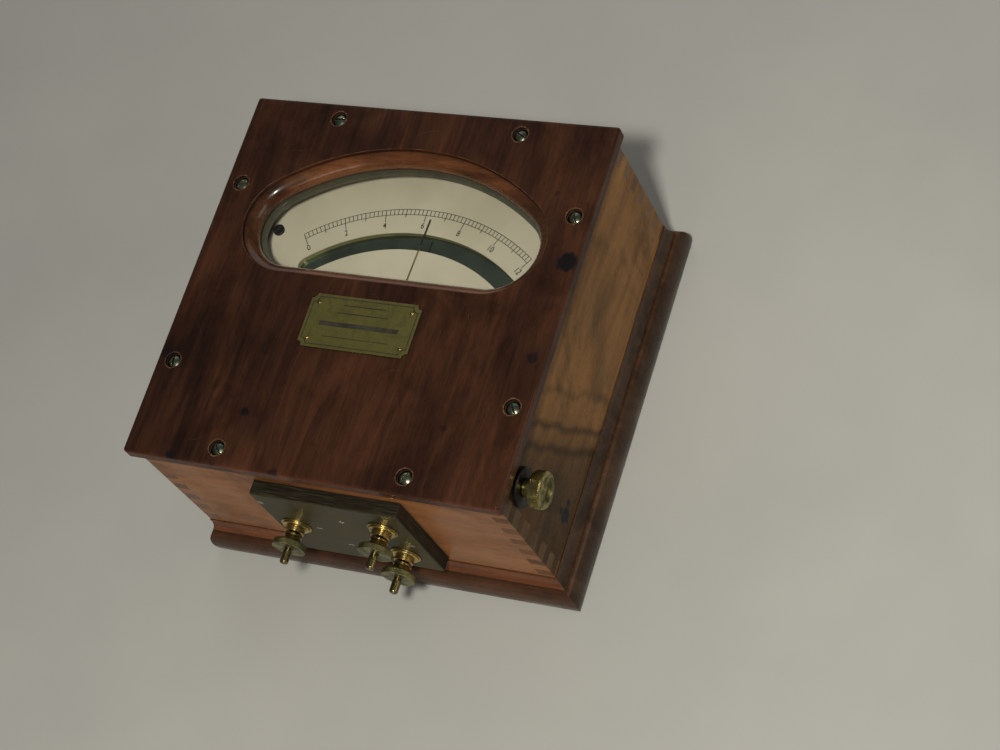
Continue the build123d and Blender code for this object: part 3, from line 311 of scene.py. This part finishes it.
def smears(paint, colour):
    """Painted reflections: wavy dark bands across a wall, standing in for dark surroundings mirrored in its
    polish.
    """
    noise = paint.noise((0.02, 0.02, 0.06), detail=1, rough=0.5, shift=(5, 1, 8))
    wave = paint.math("MULTIPLY", paint.math("SUBTRACT", noise, 0.5), WAVE)
    place = paint.math("ADD", leaning(paint), wave)
    for centre, half, strength in REFLECTION_BANDS:
        off = paint.math("ABSOLUTE", paint.math("SUBTRACT", place, centre))
        colour = paint.mix(colour, PAINTED_SHADE_TINT, paint.band(off, half, 0.0, 0.0, strength), "MULTIPLY")
    return colour


def hairlines(paint, offset):
    """Short fine scratches in the polish: thin contour lines of a broad noise, broken into pieces."""
    contour = paint.noise((0.03, 0.04, 0.035), detail=0, rough=0.3, shift=offset)
    line = paint.band(paint.math("ABSOLUTE", paint.math("SUBTRACT", contour, 0.5)), 0.0018, 0.0006)
    where = paint.noise((0.05, 0.05, 0.05), detail=3, rough=0.6, shift=(9, 4, 2))
    pieces = paint.band(where, 0.58, 0.62, 0.0, 0.22)
    return paint.math("MULTIPLY", line, pieces)


def chipped_rings(paint):
    """Pale chipped polish round the panel's eight counterbores."""
    across = paint.math("ABSOLUTE", paint.axis("X"))
    along = paint.math("ABSOLUTE", paint.axis("Y"))
    nearest = None
    for x, y in ((SCREW_PITCH, SCREW_EDGE), (SCREW_EDGE, SCREW_PITCH)):
        dx = paint.math("SUBTRACT", across, x)
        dy = paint.math("SUBTRACT", along, y)
        squares = paint.math("ADD", paint.math("MULTIPLY", dx, dx), paint.math("MULTIPLY", dy, dy))
        distance = paint.math("SQRT", squares)
        nearest = distance if nearest is None else paint.math("MINIMUM", nearest, distance)
    ragged = paint.noise((0.8, 0.8, 0.8), detail=4, rough=0.7)
    reach = paint.math("ADD", nearest, paint.math("MULTIPLY", ragged, RING_RAGGED))
    ring = paint.band(reach, RING_OUT, RING_IN)
    patches = paint.noise((0.18, 0.18, 0.18), detail=4, rough=0.8, shift=(7, 3, 0))
    broken = paint.band(patches, 0.42, 0.6, 0.1, 0.7)
    return paint.math("MULTIPLY", paint.math("MULTIPLY", ring, broken), paint.facing("Z"))


# ---------------------------------------------------------------- metal, rubber, card, glass and wire

def metal(name, clean, tarnish, amount=0.5, rough=0.28, dark=None, worn=None,
          grain=(0.6, 0.6, 0.6), dull_past=None):
    """Worn metal: a clean colour, patchy tarnish, specks and rubbed edges, dull past one y if given."""
    paint = Paint(name)
    patch = paint.noise((0.16, 0.16, 0.16), detail=6, rough=0.7, warp=0.5)
    speck = paint.noise((1.4, 1.4, 1.4), detail=3, rough=0.6)
    brushed = paint.noise(grain, detail=4, rough=0.7)
    low, high = 0.62 - amount * 0.4, 0.74 - amount * 0.2
    colour = paint.mix(clean, tarnish, paint.band(patch, low, high))
    specks = paint.band(speck, 0.60, 0.72, 0.0, 0.7)
    colour = paint.mix(colour, dark or tuple(c * 0.2 for c in tarnish), specks)
    if dull_past is not None:
        dull = paint.band(paint.axis("Y"), dull_past + 1, dull_past - 1, 0.0, 0.85)
        colour = paint.mix(colour, tarnish, dull)
    worn_edges = paint.math("MULTIPLY", paint.edges(0.35, 0.03, 0.3), 0.8)
    colour = paint.mix(colour, worn or clean, worn_edges)
    grime = paint.band(paint.openness(1.5), 0.85, 0.35, 0.0, 0.8)
    colour = paint.mix(colour, dark or tuple(c * 0.25 for c in tarnish), grime)
    gloss = paint.band(patch, 0.35, 0.7, rough, rough + 0.25)
    gloss = paint.math("ADD", gloss, paint.band(brushed, 0.4, 0.8, 0.0, 0.1))
    normal = paint.bump(paint.math("ADD", speck, brushed), 0.012, paint.soft_normal(0.12))
    return paint.set(Base_Color=colour, Roughness=gloss, Metallic=1.0, Normal=normal).data


def plain(name, base, spots, rough=0.5, metallic=0.0, scale=0.8, depth=0.01):
    """A painted or moulded surface with fine mottling and softly rounded edges."""
    paint = Paint(name)
    mottle = paint.noise((scale,) * 3, detail=6, rough=0.7)
    broad = paint.noise((scale * 0.08,) * 3, detail=4, rough=0.6, warp=0.4)
    colour = paint.mix(base, spots, paint.band(mottle, 0.45, 0.75))
    colour = paint.mix(colour, spots, paint.band(broad, 0.45, 0.7, 0.0, 0.6))
    gloss = paint.band(broad, 0.3, 0.7, rough, rough + 0.15)
    normal = paint.bump(mottle, depth, paint.soft_normal(0.15))
    return paint.set(Base_Color=colour, Roughness=gloss, Metallic=metallic, Normal=normal).data


def ebonite(chips):
    """Old hard rubber: near black on its sawn edges, faded brown-green on its faces, pale at chips."""
    paint = Paint("ebonite")
    bloom = paint.noise((0.05, 0.05, 0.05), detail=6, rough=0.7, warp=0.6)
    fine = paint.noise((1.2, 1.2, 1.2), detail=5, rough=0.7)
    rub = paint.noise((0.06, 1.0, 0.9), detail=4, rough=0.6)
    saw = paint.noise((0.08, 3.0, 0.08), detail=4, rough=0.6)
    colour = paint.mix((0.030, 0.026, 0.011), (0.066, 0.055, 0.023), paint.band(bloom, 0.35, 0.65))
    colour = paint.mix(colour, (0.085, 0.070, 0.042), paint.band(rub, 0.52, 0.8, 0.0, 0.5))
    edge_tone = paint.mix((0.012, 0.011, 0.007), (0.045, 0.037, 0.022), paint.band(saw, 0.45, 0.65))
    colour = paint.mix(edge_tone, colour, paint.facing("Y"))
    colour = paint.mix(colour, (0.008, 0.008, 0.008), paint.band(fine, 0.55, 0.75, 0.0, 0.6))
    colour = paint.mix(colour, (0.10, 0.095, 0.070), paint.math("MULTIPLY", paint.edges(0.7), 0.45))
    # painted shade: near black in corners and crevices within 2 mm
    colour = paint.mix(colour, (0.006, 0.006, 0.005), paint.band(paint.openness(2.0), 0.85, 0.4, 0.0, 0.8))
    colour = paint.marks(colour, chips, ink=(0.22, 0.21, 0.17))
    gloss = paint.band(bloom, 0.3, 0.7, 0.36, 0.55)
    normal = paint.bump(paint.math("ADD", fine, saw), 0.02, paint.soft_normal(0.3))
    return paint.set(Base_Color=colour, Roughness=gloss, Normal=normal, Specular_IOR_Level=0.15).data


def dial_paper():
    """Cream card, a little yellowed, with foxing specks and faint fibres."""
    paint = Paint("dial_paper")
    age = paint.noise((0.018, 0.018, 0.018), detail=4, rough=0.6, warp=0.5)
    fox = paint.noise((0.55, 0.55, 0.55), detail=5, rough=0.65)
    fibre = paint.noise((3.0, 0.9, 3.0), detail=4, rough=0.7)
    colour = paint.mix((0.67, 0.63, 0.465), (0.58, 0.54, 0.375), paint.band(age, 0.35, 0.7))
    colour = paint.mix(colour, (0.36, 0.27, 0.14), paint.band(fox, 0.66, 0.78, 0.0, 0.6))
    colour = paint.mix(colour, (0.62, 0.57, 0.40), paint.band(fibre, 0.5, 0.8, 0.0, 0.5))
    normal = paint.bump(fibre, 0.008)
    return paint.set(Base_Color=colour, Roughness=0.62, Normal=normal).data


GLASS_IOR = 1.5
WIRE_PITCH = 0.45


def clear_glass():
    """Thin clear glass: both faces reflect alike and let everything else through, with a little dust."""
    paint = Paint("clear_glass")
    fresnel = paint.tree.nodes.new("ShaderNodeFresnel")
    geometry = paint.tree.nodes.new("ShaderNodeNewGeometry")
    from_inside = paint.math("MULTIPLY", geometry.outputs["Backfacing"], GLASS_IOR - 1 / GLASS_IOR)
    paint.feed(fresnel.inputs["IOR"], paint.math("SUBTRACT", GLASS_IOR, from_inside))
    dust = paint.noise((0.35, 0.35, 0.35), detail=7, rough=0.8)
    film = paint.noise((0.02, 0.03, 0.02), detail=4, rough=0.6, warp=0.5)
    dirt = paint.math("ADD", paint.band(dust, 0.64, 0.82, 0.0, 0.05), paint.band(film, 0.4, 0.7, 0.0, 0.01))
    cover = paint.math("ADD", fresnel.outputs["Fac"], dirt)
    rough = paint.band(dust, 0.5, 0.8, 0.02, 0.15)
    return paint.set(Base_Color=(0.92, 0.96, 0.94), Metallic=1.0, Roughness=rough, Alpha=cover).data


def mirror_glass():
    """Old silvering, darkened and spotted."""
    paint = Paint("mirror_glass")
    spot = paint.noise((0.5, 0.5, 0.5), detail=5, rough=0.7)
    cloud = paint.noise((0.05, 0.05, 0.05), detail=4, rough=0.6)
    colour = paint.mix((0.20, 0.27, 0.20), (0.11, 0.15, 0.11), paint.band(cloud, 0.35, 0.7))
    colour = paint.mix(colour, (0.05, 0.06, 0.05), paint.band(spot, 0.66, 0.76, 0.0, 0.8))
    rough = paint.band(spot, 0.4, 0.8, 0.06, 0.3)
    return paint.set(Base_Color=colour, Metallic=1.0, Roughness=rough).data


def wound_wire():
    """Fine silk-covered wire wound round Z: threads side by side, shellacked."""
    paint = Paint("wound_wire")
    turns = paint.math("SINE", paint.math("MULTIPLY", paint.axis("Z"), 2 * pi / WIRE_PITCH))
    fluff = paint.noise((2.0, 2.0, 6.0), detail=4, rough=0.7)
    colour = paint.mix((0.035, 0.070, 0.035), (0.12, 0.20, 0.10), paint.band(turns, -0.6, 0.9))
    colour = paint.mix(colour, (0.16, 0.12, 0.05), paint.band(fluff, 0.5, 0.8, 0.0, 0.6))
    normal = paint.bump(paint.math("ADD", turns, fluff), 0.05)
    return paint.set(Base_Color=colour, Roughness=0.5, Sheen_Weight=0.2, Normal=normal).data


def floor_paint():
    """A plain pale table."""
    paint = Paint("floor_paint")
    cloud = paint.noise((0.004, 0.004, 0.004), detail=4, rough=0.6)
    colour = paint.mix((0.50, 0.50, 0.465), (0.45, 0.455, 0.425), paint.band(cloud, 0.3, 0.7))
    return paint.set(Base_Color=colour, Roughness=0.65).data


# ---------------------------------------------------------------- materials of the CAD pieces

panel_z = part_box("front_panel")[1].z / MM
side_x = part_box("wall_right")[1].x / MM
block_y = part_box("terminal_block")[0].y / MM
stud_dull_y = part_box("clamp_ferrule_left")[0].y / MM
SCREW_PITCH = 50.8
SCREW_EDGE = 92.6

PANEL_STAINS = (
    ((96.6, 26.3, panel_z), 7.0, 0.95),
    ((-43.0, -72.1, panel_z), 3.0, 0.85),
    ((94.7, -25.0, panel_z), 4.0, 0.7),
    ((-96.4, -47.0, panel_z), 4.5, 0.6),
    ((-74.3, -99.8, panel_z), 3.5, 0.7),
    ((-17.0, -101.5, panel_z), 4.0, 0.7),
    ((-44.0, -40.0, panel_z), 1.6, 0.5),
    ((62.0, -66.0, panel_z), 2.2, 0.5),
    ((80.0, 62.0, panel_z), 2.0, 0.4),
)
SIDE_STAINS = (
    ((side_x, -70.0, 37.8), 6.0, 1.0),
    ((side_x, -63.5, 38.5), 2.8, 0.95),
    ((side_x, -69.9, 44.0), 2.8, 0.95),
)
EBONITE_CHIPS = (((-36.5, block_y, 86.0), 2.2, 0.8), ((36.1, block_y, 59.8), 1.8, 0.8))

PANEL_TONES = ((0.024, 0.0100, 0.0066), (0.049, 0.0190, 0.0104), (0.082, 0.0310, 0.0150))
PANEL_END_TONES = ((0.045, 0.013, 0.006), (0.080, 0.023, 0.010), (0.12, 0.036, 0.015))
WINDOW_TONES = ((0.060, 0.020, 0.0085), (0.135, 0.047, 0.017), (0.21, 0.078, 0.027))
TAN_TONES = ((0.23, 0.088, 0.030), (0.29, 0.115, 0.040), (0.35, 0.145, 0.052))
OLIVE_TONES = ((0.165, 0.076, 0.023), (0.235, 0.114, 0.036), (0.305, 0.153, 0.052))
BASE_TONES = ((0.040, 0.017, 0.009), (0.080, 0.033, 0.015), (0.125, 0.051, 0.023))
BASE_END_TONES = ((0.024, 0.013, 0.008), (0.045, 0.024, 0.013), (0.070, 0.037, 0.019))
COVE_TONES = ((0.085, 0.026, 0.0085), (0.165, 0.051, 0.0160), (0.25, 0.080, 0.026))
RAW_TONES = ((0.22, 0.13, 0.06), (0.34, 0.21, 0.11), (0.46, 0.30, 0.17))
SIDE_END_TONES = shade(TAN_TONES, 0.62)
CASE_WEAR = (0.27, 0.135, 0.055)

PAINTS = {
    "panel_wood": wood("panel_wood", "Y", PANEL_TONES, PANEL_END_TONES, gloss=0.24, coat=0.08, shine=0.10,
                       wear=(0.22, 0.115, 0.06), stains=PANEL_STAINS, rings=True),
    # painted shade: the moulding darker towards its left and right sides
    "window_wood": wood("window_wood", "X", WINDOW_TONES, gloss=0.16, coat=0.4, shift=3.1,
                        painted_shade=("sides", 40, 78, 0.75)),
    "terminal_wall_wood": wood("terminal_wall_wood", "X", TAN_TONES, shade(OLIVE_TONES, 0.38), gloss=0.28,
                               shine=0.15, wear=CASE_WEAR, shift=7.3),
    # painted shade and painted dark reflections towards the side wall's foot
    "side_wood": wood("side_wood", "Y", OLIVE_TONES, SIDE_END_TONES, gloss=0.16, coat=0.03, shine=0.06,
                      wear=CASE_WEAR, stains=SIDE_STAINS, shift=11.9, painted_shade=("foot", -22, -62, 1.0)),
    "left_wood": wood("left_wood", "Y", OLIVE_TONES, SIDE_END_TONES, gloss=0.16, coat=0.08, shine=0.15,
                      wear=CASE_WEAR, shift=41.3),
    "rear_wood": wood("rear_wood", "X", OLIVE_TONES, shade(OLIVE_TONES, 0.6), gloss=0.24, shift=17.7),
    "base_wood": wood("base_wood", "X", BASE_TONES, BASE_END_TONES, gloss=0.18, coat=0.10, shine=0.15,
                      shift=23.1),
    "cove_wood": wood("cove_wood", "X", COVE_TONES, BASE_END_TONES, gloss=0.18, coat=0.10, shine=0.15,
                      shift=27.9),
    "raw_wood": wood("raw_wood", "Y", RAW_TONES, gloss=0.5, coat=0.0, wear=(0.46, 0.33, 0.20), shift=31.0,
                     raw=True),
    "brass": metal("brass", (0.46, 0.33, 0.11), (0.13, 0.105, 0.045), amount=0.6, rough=0.20,
                   worn=(0.80, 0.62, 0.27)),
    "stud_brass": metal("stud_brass", (0.62, 0.45, 0.15), (0.11, 0.10, 0.05), amount=0.4, rough=0.18,
                        worn=(0.85, 0.66, 0.30), dull_past=stud_dull_y),
    "nut_brass": metal("nut_brass", (0.23, 0.215, 0.095), (0.085, 0.085, 0.045), amount=0.55, rough=0.30,
                       worn=(0.60, 0.50, 0.22)),
    "knob_brass": metal("knob_brass", (0.34, 0.28, 0.095), (0.095, 0.085, 0.040), amount=0.6, rough=0.20,
                        worn=(0.85, 0.68, 0.28)),
    "plaque_brass": metal("plaque_brass", (0.30, 0.27, 0.085), (0.17, 0.155, 0.055), amount=0.6, rough=0.42,
                          worn=(0.5, 0.42, 0.18), grain=(0.2, 4.0, 4.0)),
    "dial_brass": plain("dial_brass", (0.30, 0.27, 0.095), (0.12, 0.11, 0.045), rough=0.35, metallic=0.15),
    "screw_brass": metal("screw_brass", (0.30, 0.31, 0.20), (0.10, 0.13, 0.105), amount=0.8, rough=0.20,
                         worn=(0.90, 0.72, 0.34)),
    "black_metal": metal("black_metal", (0.035, 0.033, 0.03), (0.02, 0.018, 0.016), amount=0.5, rough=0.35,
                         worn=(0.22, 0.18, 0.12)),
    "steel": metal("steel", (0.56, 0.56, 0.57), (0.32, 0.30, 0.28), amount=0.3, rough=0.25),
    "blued_steel": metal("blued_steel", (0.05, 0.08, 0.22), (0.04, 0.05, 0.12), amount=0.3, rough=0.25),
    "iron": metal("iron", (0.28, 0.28, 0.29), (0.16, 0.12, 0.10), amount=0.4, rough=0.4),
    "aluminium": metal("aluminium", (0.76, 0.76, 0.77), (0.6, 0.6, 0.6), amount=0.2, rough=0.3),
    "copper": metal("copper", (0.80, 0.40, 0.24), (0.35, 0.16, 0.08), amount=0.4, rough=0.3),
    "magnet_enamel": plain("magnet_enamel", (0.26, 0.022, 0.016), (0.13, 0.012, 0.010), rough=0.3),
    "rim_paint": plain("rim_paint", (0.085, 0.085, 0.050), (0.040, 0.042, 0.026), rough=0.5),
    "ebonite": ebonite(EBONITE_CHIPS),
    "dial_paper": dial_paper(),
    "clear_glass": clear_glass(),
    "mirror_glass": mirror_glass(),
    "wound_wire": wound_wire(),
    "ink": plain("ink", (0.010, 0.009, 0.008), (0.025, 0.022, 0.018), rough=0.6),
    "plaque_ink": plain("plaque_ink", (0.014, 0.013, 0.008), (0.05, 0.045, 0.02), rough=0.5),
    "chalk": plain("chalk", (0.50, 0.50, 0.44), (0.25, 0.25, 0.20), rough=0.7),
}

BY_SLOT = {
    "panel_wood": "panel_wood", "moulding_wood": "window_wood", "case_wood": "side_wood",
    "base_wood": "base_wood", "inner_wood": "raw_wood", "glass": "clear_glass",
    "retainer_paint": "rim_paint", "card": "dial_paper", "mirror": "mirror_glass", "brass": "brass",
    "plaque_brass": "plaque_brass", "screw_metal": "screw_brass", "ebonite": "ebonite",
    "blackened": "black_metal", "steel": "steel", "blued_steel": "blued_steel",
    "magnet_steel": "magnet_enamel", "iron": "iron", "aluminium": "aluminium",
    "silk_wire": "wound_wire", "copper": "copper",
}
BY_NODE = {
    "wall_terminal": "terminal_wall_wood",
    "wall_rear": "rear_wood",
    "wall_left": "left_wood",
    "cove_moulding": "cove_wood",
    "dial_screws": "black_metal",
    "dial_plate": "dial_brass",
    "knob": "knob_brass",
}
for side in ("left", "upper", "lower"):
    BY_NODE[f"terminal_stud_{side}"] = "stud_brass"
    BY_NODE[f"thumb_nut_{side}"] = "nut_brass"


def dress_cad_nodes():
    """Give every CAD node its procedural material, by its name or its record slot."""
    for row in frame["record"]["subparts"]:
        node = NODES[row["node"]]
        chosen = BY_NODE.get(row["node"], BY_SLOT[row["material_slot"]])
        node.data.materials.clear()
        node.data.materials.append(PAINTS[chosen])


# ---------------------------------------------------------------- pieces added to the CAD

def add_piece(name, mesh, paint, body):
    """Put a finished mesh, built in millimetres, into the scene as a piece on a body."""
    mesh.transform(Matrix.Scale(MM, 4))
    piece = bpy.data.objects.new(name, mesh)
    bpy.context.scene.collection.objects.link(piece)
    mesh.materials.clear()
    mesh.materials.append(PAINTS[paint])
    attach(piece, body)
    return piece


def rectangle(x, y, width, height):
    """The four corners of a rectangle round a centre."""
    right, up = width / 2, height / 2
    return [(x - right, y - up), (x + right, y - up), (x + right, y + up), (x - right, y + up)]


def slab(shape, corners, low, high):
    """Add a closed slab with this outline between two heights to a bmesh."""
    floor = [shape.verts.new((x, y, low)) for x, y in corners]
    top = [shape.verts.new((x, y, high)) for x, y in corners]
    shape.faces.new(floor[::-1])
    shape.faces.new(top)
    count = len(corners)
    for i in range(count):
        j = (i + 1) % count
        shape.faces.new((floor[i], floor[j], top[j], top[i]))


def finished(shape, name):
    """Turn a bmesh into a mesh with its faces outward."""
    bmesh.ops.recalc_face_normals(shape, faces=shape.faces)
    mesh = bpy.data.meshes.new(name)
    shape.to_mesh(mesh)
    shape.free()
    return mesh


movement = next(j for j in frame["joints"] if j["name"] == "movement_turn")
axis_y = movement["pos_m"][1] / MM
card_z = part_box("dial_card")[1].z / MM
INK_T = 0.03
INK_LIFT = 0.005
SCALE_ANGLE = 36.0
UNIT_ANGLE = 6.0
DIVISIONS = 5
SCALE_R = (106.0, 109.0)
ODD_TICK_R = 104.3
EVEN_TICK_R = 102.2
NUMERAL_R = 99.9
NUMERAL_H = 3.3
NUMERAL_SQUEEZE = 0.8
CAPITAL = 0.7
BOLDER = 0.05
HAIRLINE = 0.33
SIGN_LENGTH = 3.2
SIGN_WIDTH = 0.5
SIGN_T = 0.04
SIGN_SUNK = 0.01
BLOCK_MARKS = ((4.6, 77.0, True), (-3.4, 46.5, False), (-14.0, 63.0, False))
BORDER_INSET = 1.3
BORDER_WIDTH = 0.4
HOLLOW_R = 2.9
CORNER_STEPS = 6
ENAMEL_T = 0.05
ENAMEL_SUNK = 0.02
PLAQUE_RULES = ((0.66, 0.38, 0.5), (0.36, 0.46, 0.5), (-0.08, 0.72, 2.4), (-0.56, 0.60, 0.35))


def on_dial(radius, angle):
    """The (x, y) of a point on the dial, at an angle anticlockwise from +Y in degrees."""
    a = radians(angle)
    return (-radius * sin(a), axis_y + radius * cos(a))


def arc_strip(shape, radius, width, half_angle, low, high, steps=96):
    """Add a thin arc round the movement's axis."""
    angles = [half_angle - 2 * half_angle * i / steps for i in range(steps + 1)]
    outer = [on_dial(radius + width / 2, a) for a in angles]
    inner = [on_dial(radius - width / 2, a) for a in angles]
    slab(shape, inner + outer[::-1], low, high)


def tick(shape, r_in, r_out, angle, width, low, high):
    """Add a radial tick."""
    a = radians(angle)
    side = (cos(a) * width / 2, sin(a) * width / 2)
    (x0, y0), (x1, y1) = on_dial(r_in, angle), on_dial(r_out, angle)
    corners = [(x0 - side[0], y0 - side[1]), (x0 + side[0], y0 + side[1]),
               (x1 + side[0], y1 + side[1]), (x1 - side[0], y1 - side[1])]
    slab(shape, corners, low, high)


def scale_marks():
    """The printed scale: two arcs, a tick at each fifth of a unit, and longer ticks at the units."""
    shape = bmesh.new()
    low, high = card_z + INK_LIFT, card_z + INK_T
    for radius in SCALE_R:
        arc_strip(shape, radius, HAIRLINE, SCALE_ANGLE, low, high)
    units = round(2 * SCALE_ANGLE / UNIT_ANGLE)
    for i in range(units * DIVISIONS + 1):
        angle = SCALE_ANGLE - i * UNIT_ANGLE / DIVISIONS
        r_in, width = SCALE_R[0], HAIRLINE * 1.15
        if i % DIVISIONS == 0:
            even = (i // DIVISIONS) % 2 == 0
            r_in, width = (EVEN_TICK_R if even else ODD_TICK_R), HAIRLINE * 1.25
        tick(shape, r_in, SCALE_R[1], angle, width, low, high)
    add_piece("scale_marks", finished(shape, "scale_marks"), "ink", "case")


def text_mesh(text, height):
    """A short text as a thin closed mesh, centred, its capitals about this high."""
    curve = bpy.data.curves.new("text", "FONT")
    curve.body = text
    curve.size = height / CAPITAL
    curve.extrude = INK_T / 2
    curve.offset = BOLDER
    curve.align_x = "CENTER"
    curve.align_y = "CENTER"
    holder = bpy.data.objects.new("text", curve)
    bpy.context.scene.collection.objects.link(holder)
    bpy.context.view_layer.update()
    mesh = bpy.data.meshes.new_from_object(holder.evaluated_get(bpy.context.evaluated_depsgraph_get()))
    bpy.data.objects.remove(holder)
    return mesh


def numerals():
    """The even numbers along the scale, each turned to stand on its own radius."""
    for value in range(0, 13, 2):
        angle = SCALE_ANGLE - value * UNIT_ANGLE
        mesh = text_mesh(str(value), NUMERAL_H)
        x, y = on_dial(NUMERAL_R, angle)
        turn = Matrix.Rotation(radians(angle), 4, "Z")
        squeeze = Matrix.Diagonal((NUMERAL_SQUEEZE, 1, 1, 1))
        mesh.transform(Matrix.Translation((x, y, card_z + INK_T / 2 + INK_LIFT)) @ turn @ squeeze)
        add_piece(f"numeral_{value}", mesh, "ink", "case")


def hollow_border(centre, half, margin, radius):
    """The points of a rectangle this far inside another, with hollow round corners."""
    points = []
    for quarter, (right, up) in enumerate(((1, 1), (-1, 1), (-1, -1), (1, -1))):
        corner_x = centre.x + right * (half.x - margin)
        corner_y = centre.y + up * (half.y - margin)
        for step in range(CORNER_STEPS + 1):
            a = radians(270 + 90 * quarter - 90 * step / CORNER_STEPS)
            points.append((corner_x + radius * cos(a), corner_y + radius * sin(a)))
    return points


def plaque_lines():
    """Generic enamel lines on the plaque: a border that follows the hollow corners, and blank rules."""
    shape = bmesh.new()
    low_corner, high_corner = (Vector(c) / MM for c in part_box("plaque"))
    low, high = high_corner.z - ENAMEL_SUNK, high_corner.z + ENAMEL_T
    centre, half = (low_corner + high_corner) / 2, (high_corner - low_corner) / 2
    outer = hollow_border(centre, half, BORDER_INSET, HOLLOW_R)
    inner = hollow_border(centre, half, BORDER_INSET + BORDER_WIDTH, HOLLOW_R)
    count = len(outer)
    for i in range(count):
        j = (i + 1) % count
        slab(shape, [outer[i], outer[j], inner[j], inner[i]], low, high)
    for up, reach, thick in PLAQUE_RULES:
        y, x = centre.y + up * half.y, reach * half.x
        slab(shape, rectangle(centre.x, y, 2 * x, thick), low, high)
    add_piece("plaque_lines", finished(shape, "plaque_lines"), "plaque_ink", "case")


def block_marks():
    """A plus and two minus signs filled with chalky paint, by the studs on the ebonite block."""
    shape = bmesh.new()
    for x, z, upright in BLOCK_MARKS:
        bars = [(SIGN_LENGTH, SIGN_WIDTH)] + ([(SIGN_WIDTH, SIGN_LENGTH)] if upright else [])
        for width, height in bars:
            slab(shape, rectangle(x, z, width, height), -SIGN_SUNK, SIGN_T)
    mesh = finished(shape, "block_marks")
    mesh.transform(Matrix(((1, 0, 0, 0), (0, 0, -1, block_y), (0, 1, 0, 0), (0, 0, 0, 1))))
    add_piece("block_marks", mesh, "chalk", "case")


# ---------------------------------------------------------------- scene

CAMERA_PLACE = (0.5549, -0.4392, 1.0368)
CAMERA_RIGHT = (0.897, 0.291, -0.334)
CAMERA_UP = (-0.120, 0.885, 0.450)
CAMERA_LENS = 86.5
SENSOR = 36.0
AIM = (0, 0, 0.06)
KEY_LEFT = 0.16
KEY_DOWN = -0.04
KEY = (0.10, 9.5, (1.0, 0.96, 0.88))
FILLS = (
    ("fill", (0.15, -1.3, 0.30), 0.6, 2.5, (1.0, 0.95, 0.88)),
    ("side", (1.3, 0.1, 0.55), 0.7, 2.8, (1.0, 0.92, 0.80)),
    ("back", (-0.5, 1.3, 0.9), 1.0, 2.2, (0.97, 0.98, 1.0)),
)
SKY_COLOUR = (0.84, 0.82, 0.76, 1)
SKY_STRENGTH = 0.14
FLOOR_SIZE = 12
FLOOR_GAP = 0.0002


def make_camera():
    """A camera held over the instrument's lower right, rolled as a hand-held one is."""
    right, up = Vector(CAMERA_RIGHT).normalized(), Vector(CAMERA_UP)
    back = right.cross(up).normalized()
    up = back.cross(right)
    data = bpy.data.cameras.new("camera")
    data.lens, data.sensor_width = CAMERA_LENS, SENSOR
    camera = bpy.data.objects.new("camera", data)
    bpy.context.scene.collection.objects.link(camera)
    turn = Matrix((right, up, back)).transposed().to_4x4()
    camera.matrix_world = Matrix.Translation(CAMERA_PLACE) @ turn
    bpy.context.scene.camera = camera


def soft_light(name, place, size, power, colour):
    """A square area light aimed at the instrument's middle."""
    data = bpy.data.lights.new(name, "AREA")
    data.size, data.energy, data.color = size, power, colour
    light = bpy.data.objects.new(name, data)
    bpy.context.scene.collection.objects.link(light)
    light.location = place
    light.rotation_mode = "QUATERNION"
    light.rotation_quaternion = (Vector(AIM) - Vector(place)).to_track_quat("-Z", "Y")


def make_studio():
    """A pale floor, a small key light beside the camera, three soft fills and a dim sky."""
    bpy.ops.mesh.primitive_plane_add(size=FLOOR_SIZE, location=(0, 0, -FLOOR_GAP))
    floor = bpy.context.object
    floor.name = "floor"
    floor.data.materials.append(floor_paint())
    beside = Vector(CAMERA_PLACE) - Vector(CAMERA_RIGHT) * KEY_LEFT - Vector(CAMERA_UP) * KEY_DOWN
    soft_light("key", beside, *KEY)
    for name, place, size, power, colour in FILLS:
        soft_light(name, place, size, power, colour)
    world = bpy.data.worlds.new("studio")
    world.use_nodes = True
    sky = world.node_tree.nodes["Background"]
    sky.inputs["Color"].default_value = SKY_COLOUR
    sky.inputs["Strength"].default_value = SKY_STRENGTH
    bpy.context.scene.world = world
    bpy.context.scene.view_settings.view_transform = "Standard"


dress_cad_nodes()
scale_marks()
numerals()
plaque_lines()
block_marks()
make_camera()
make_studio()
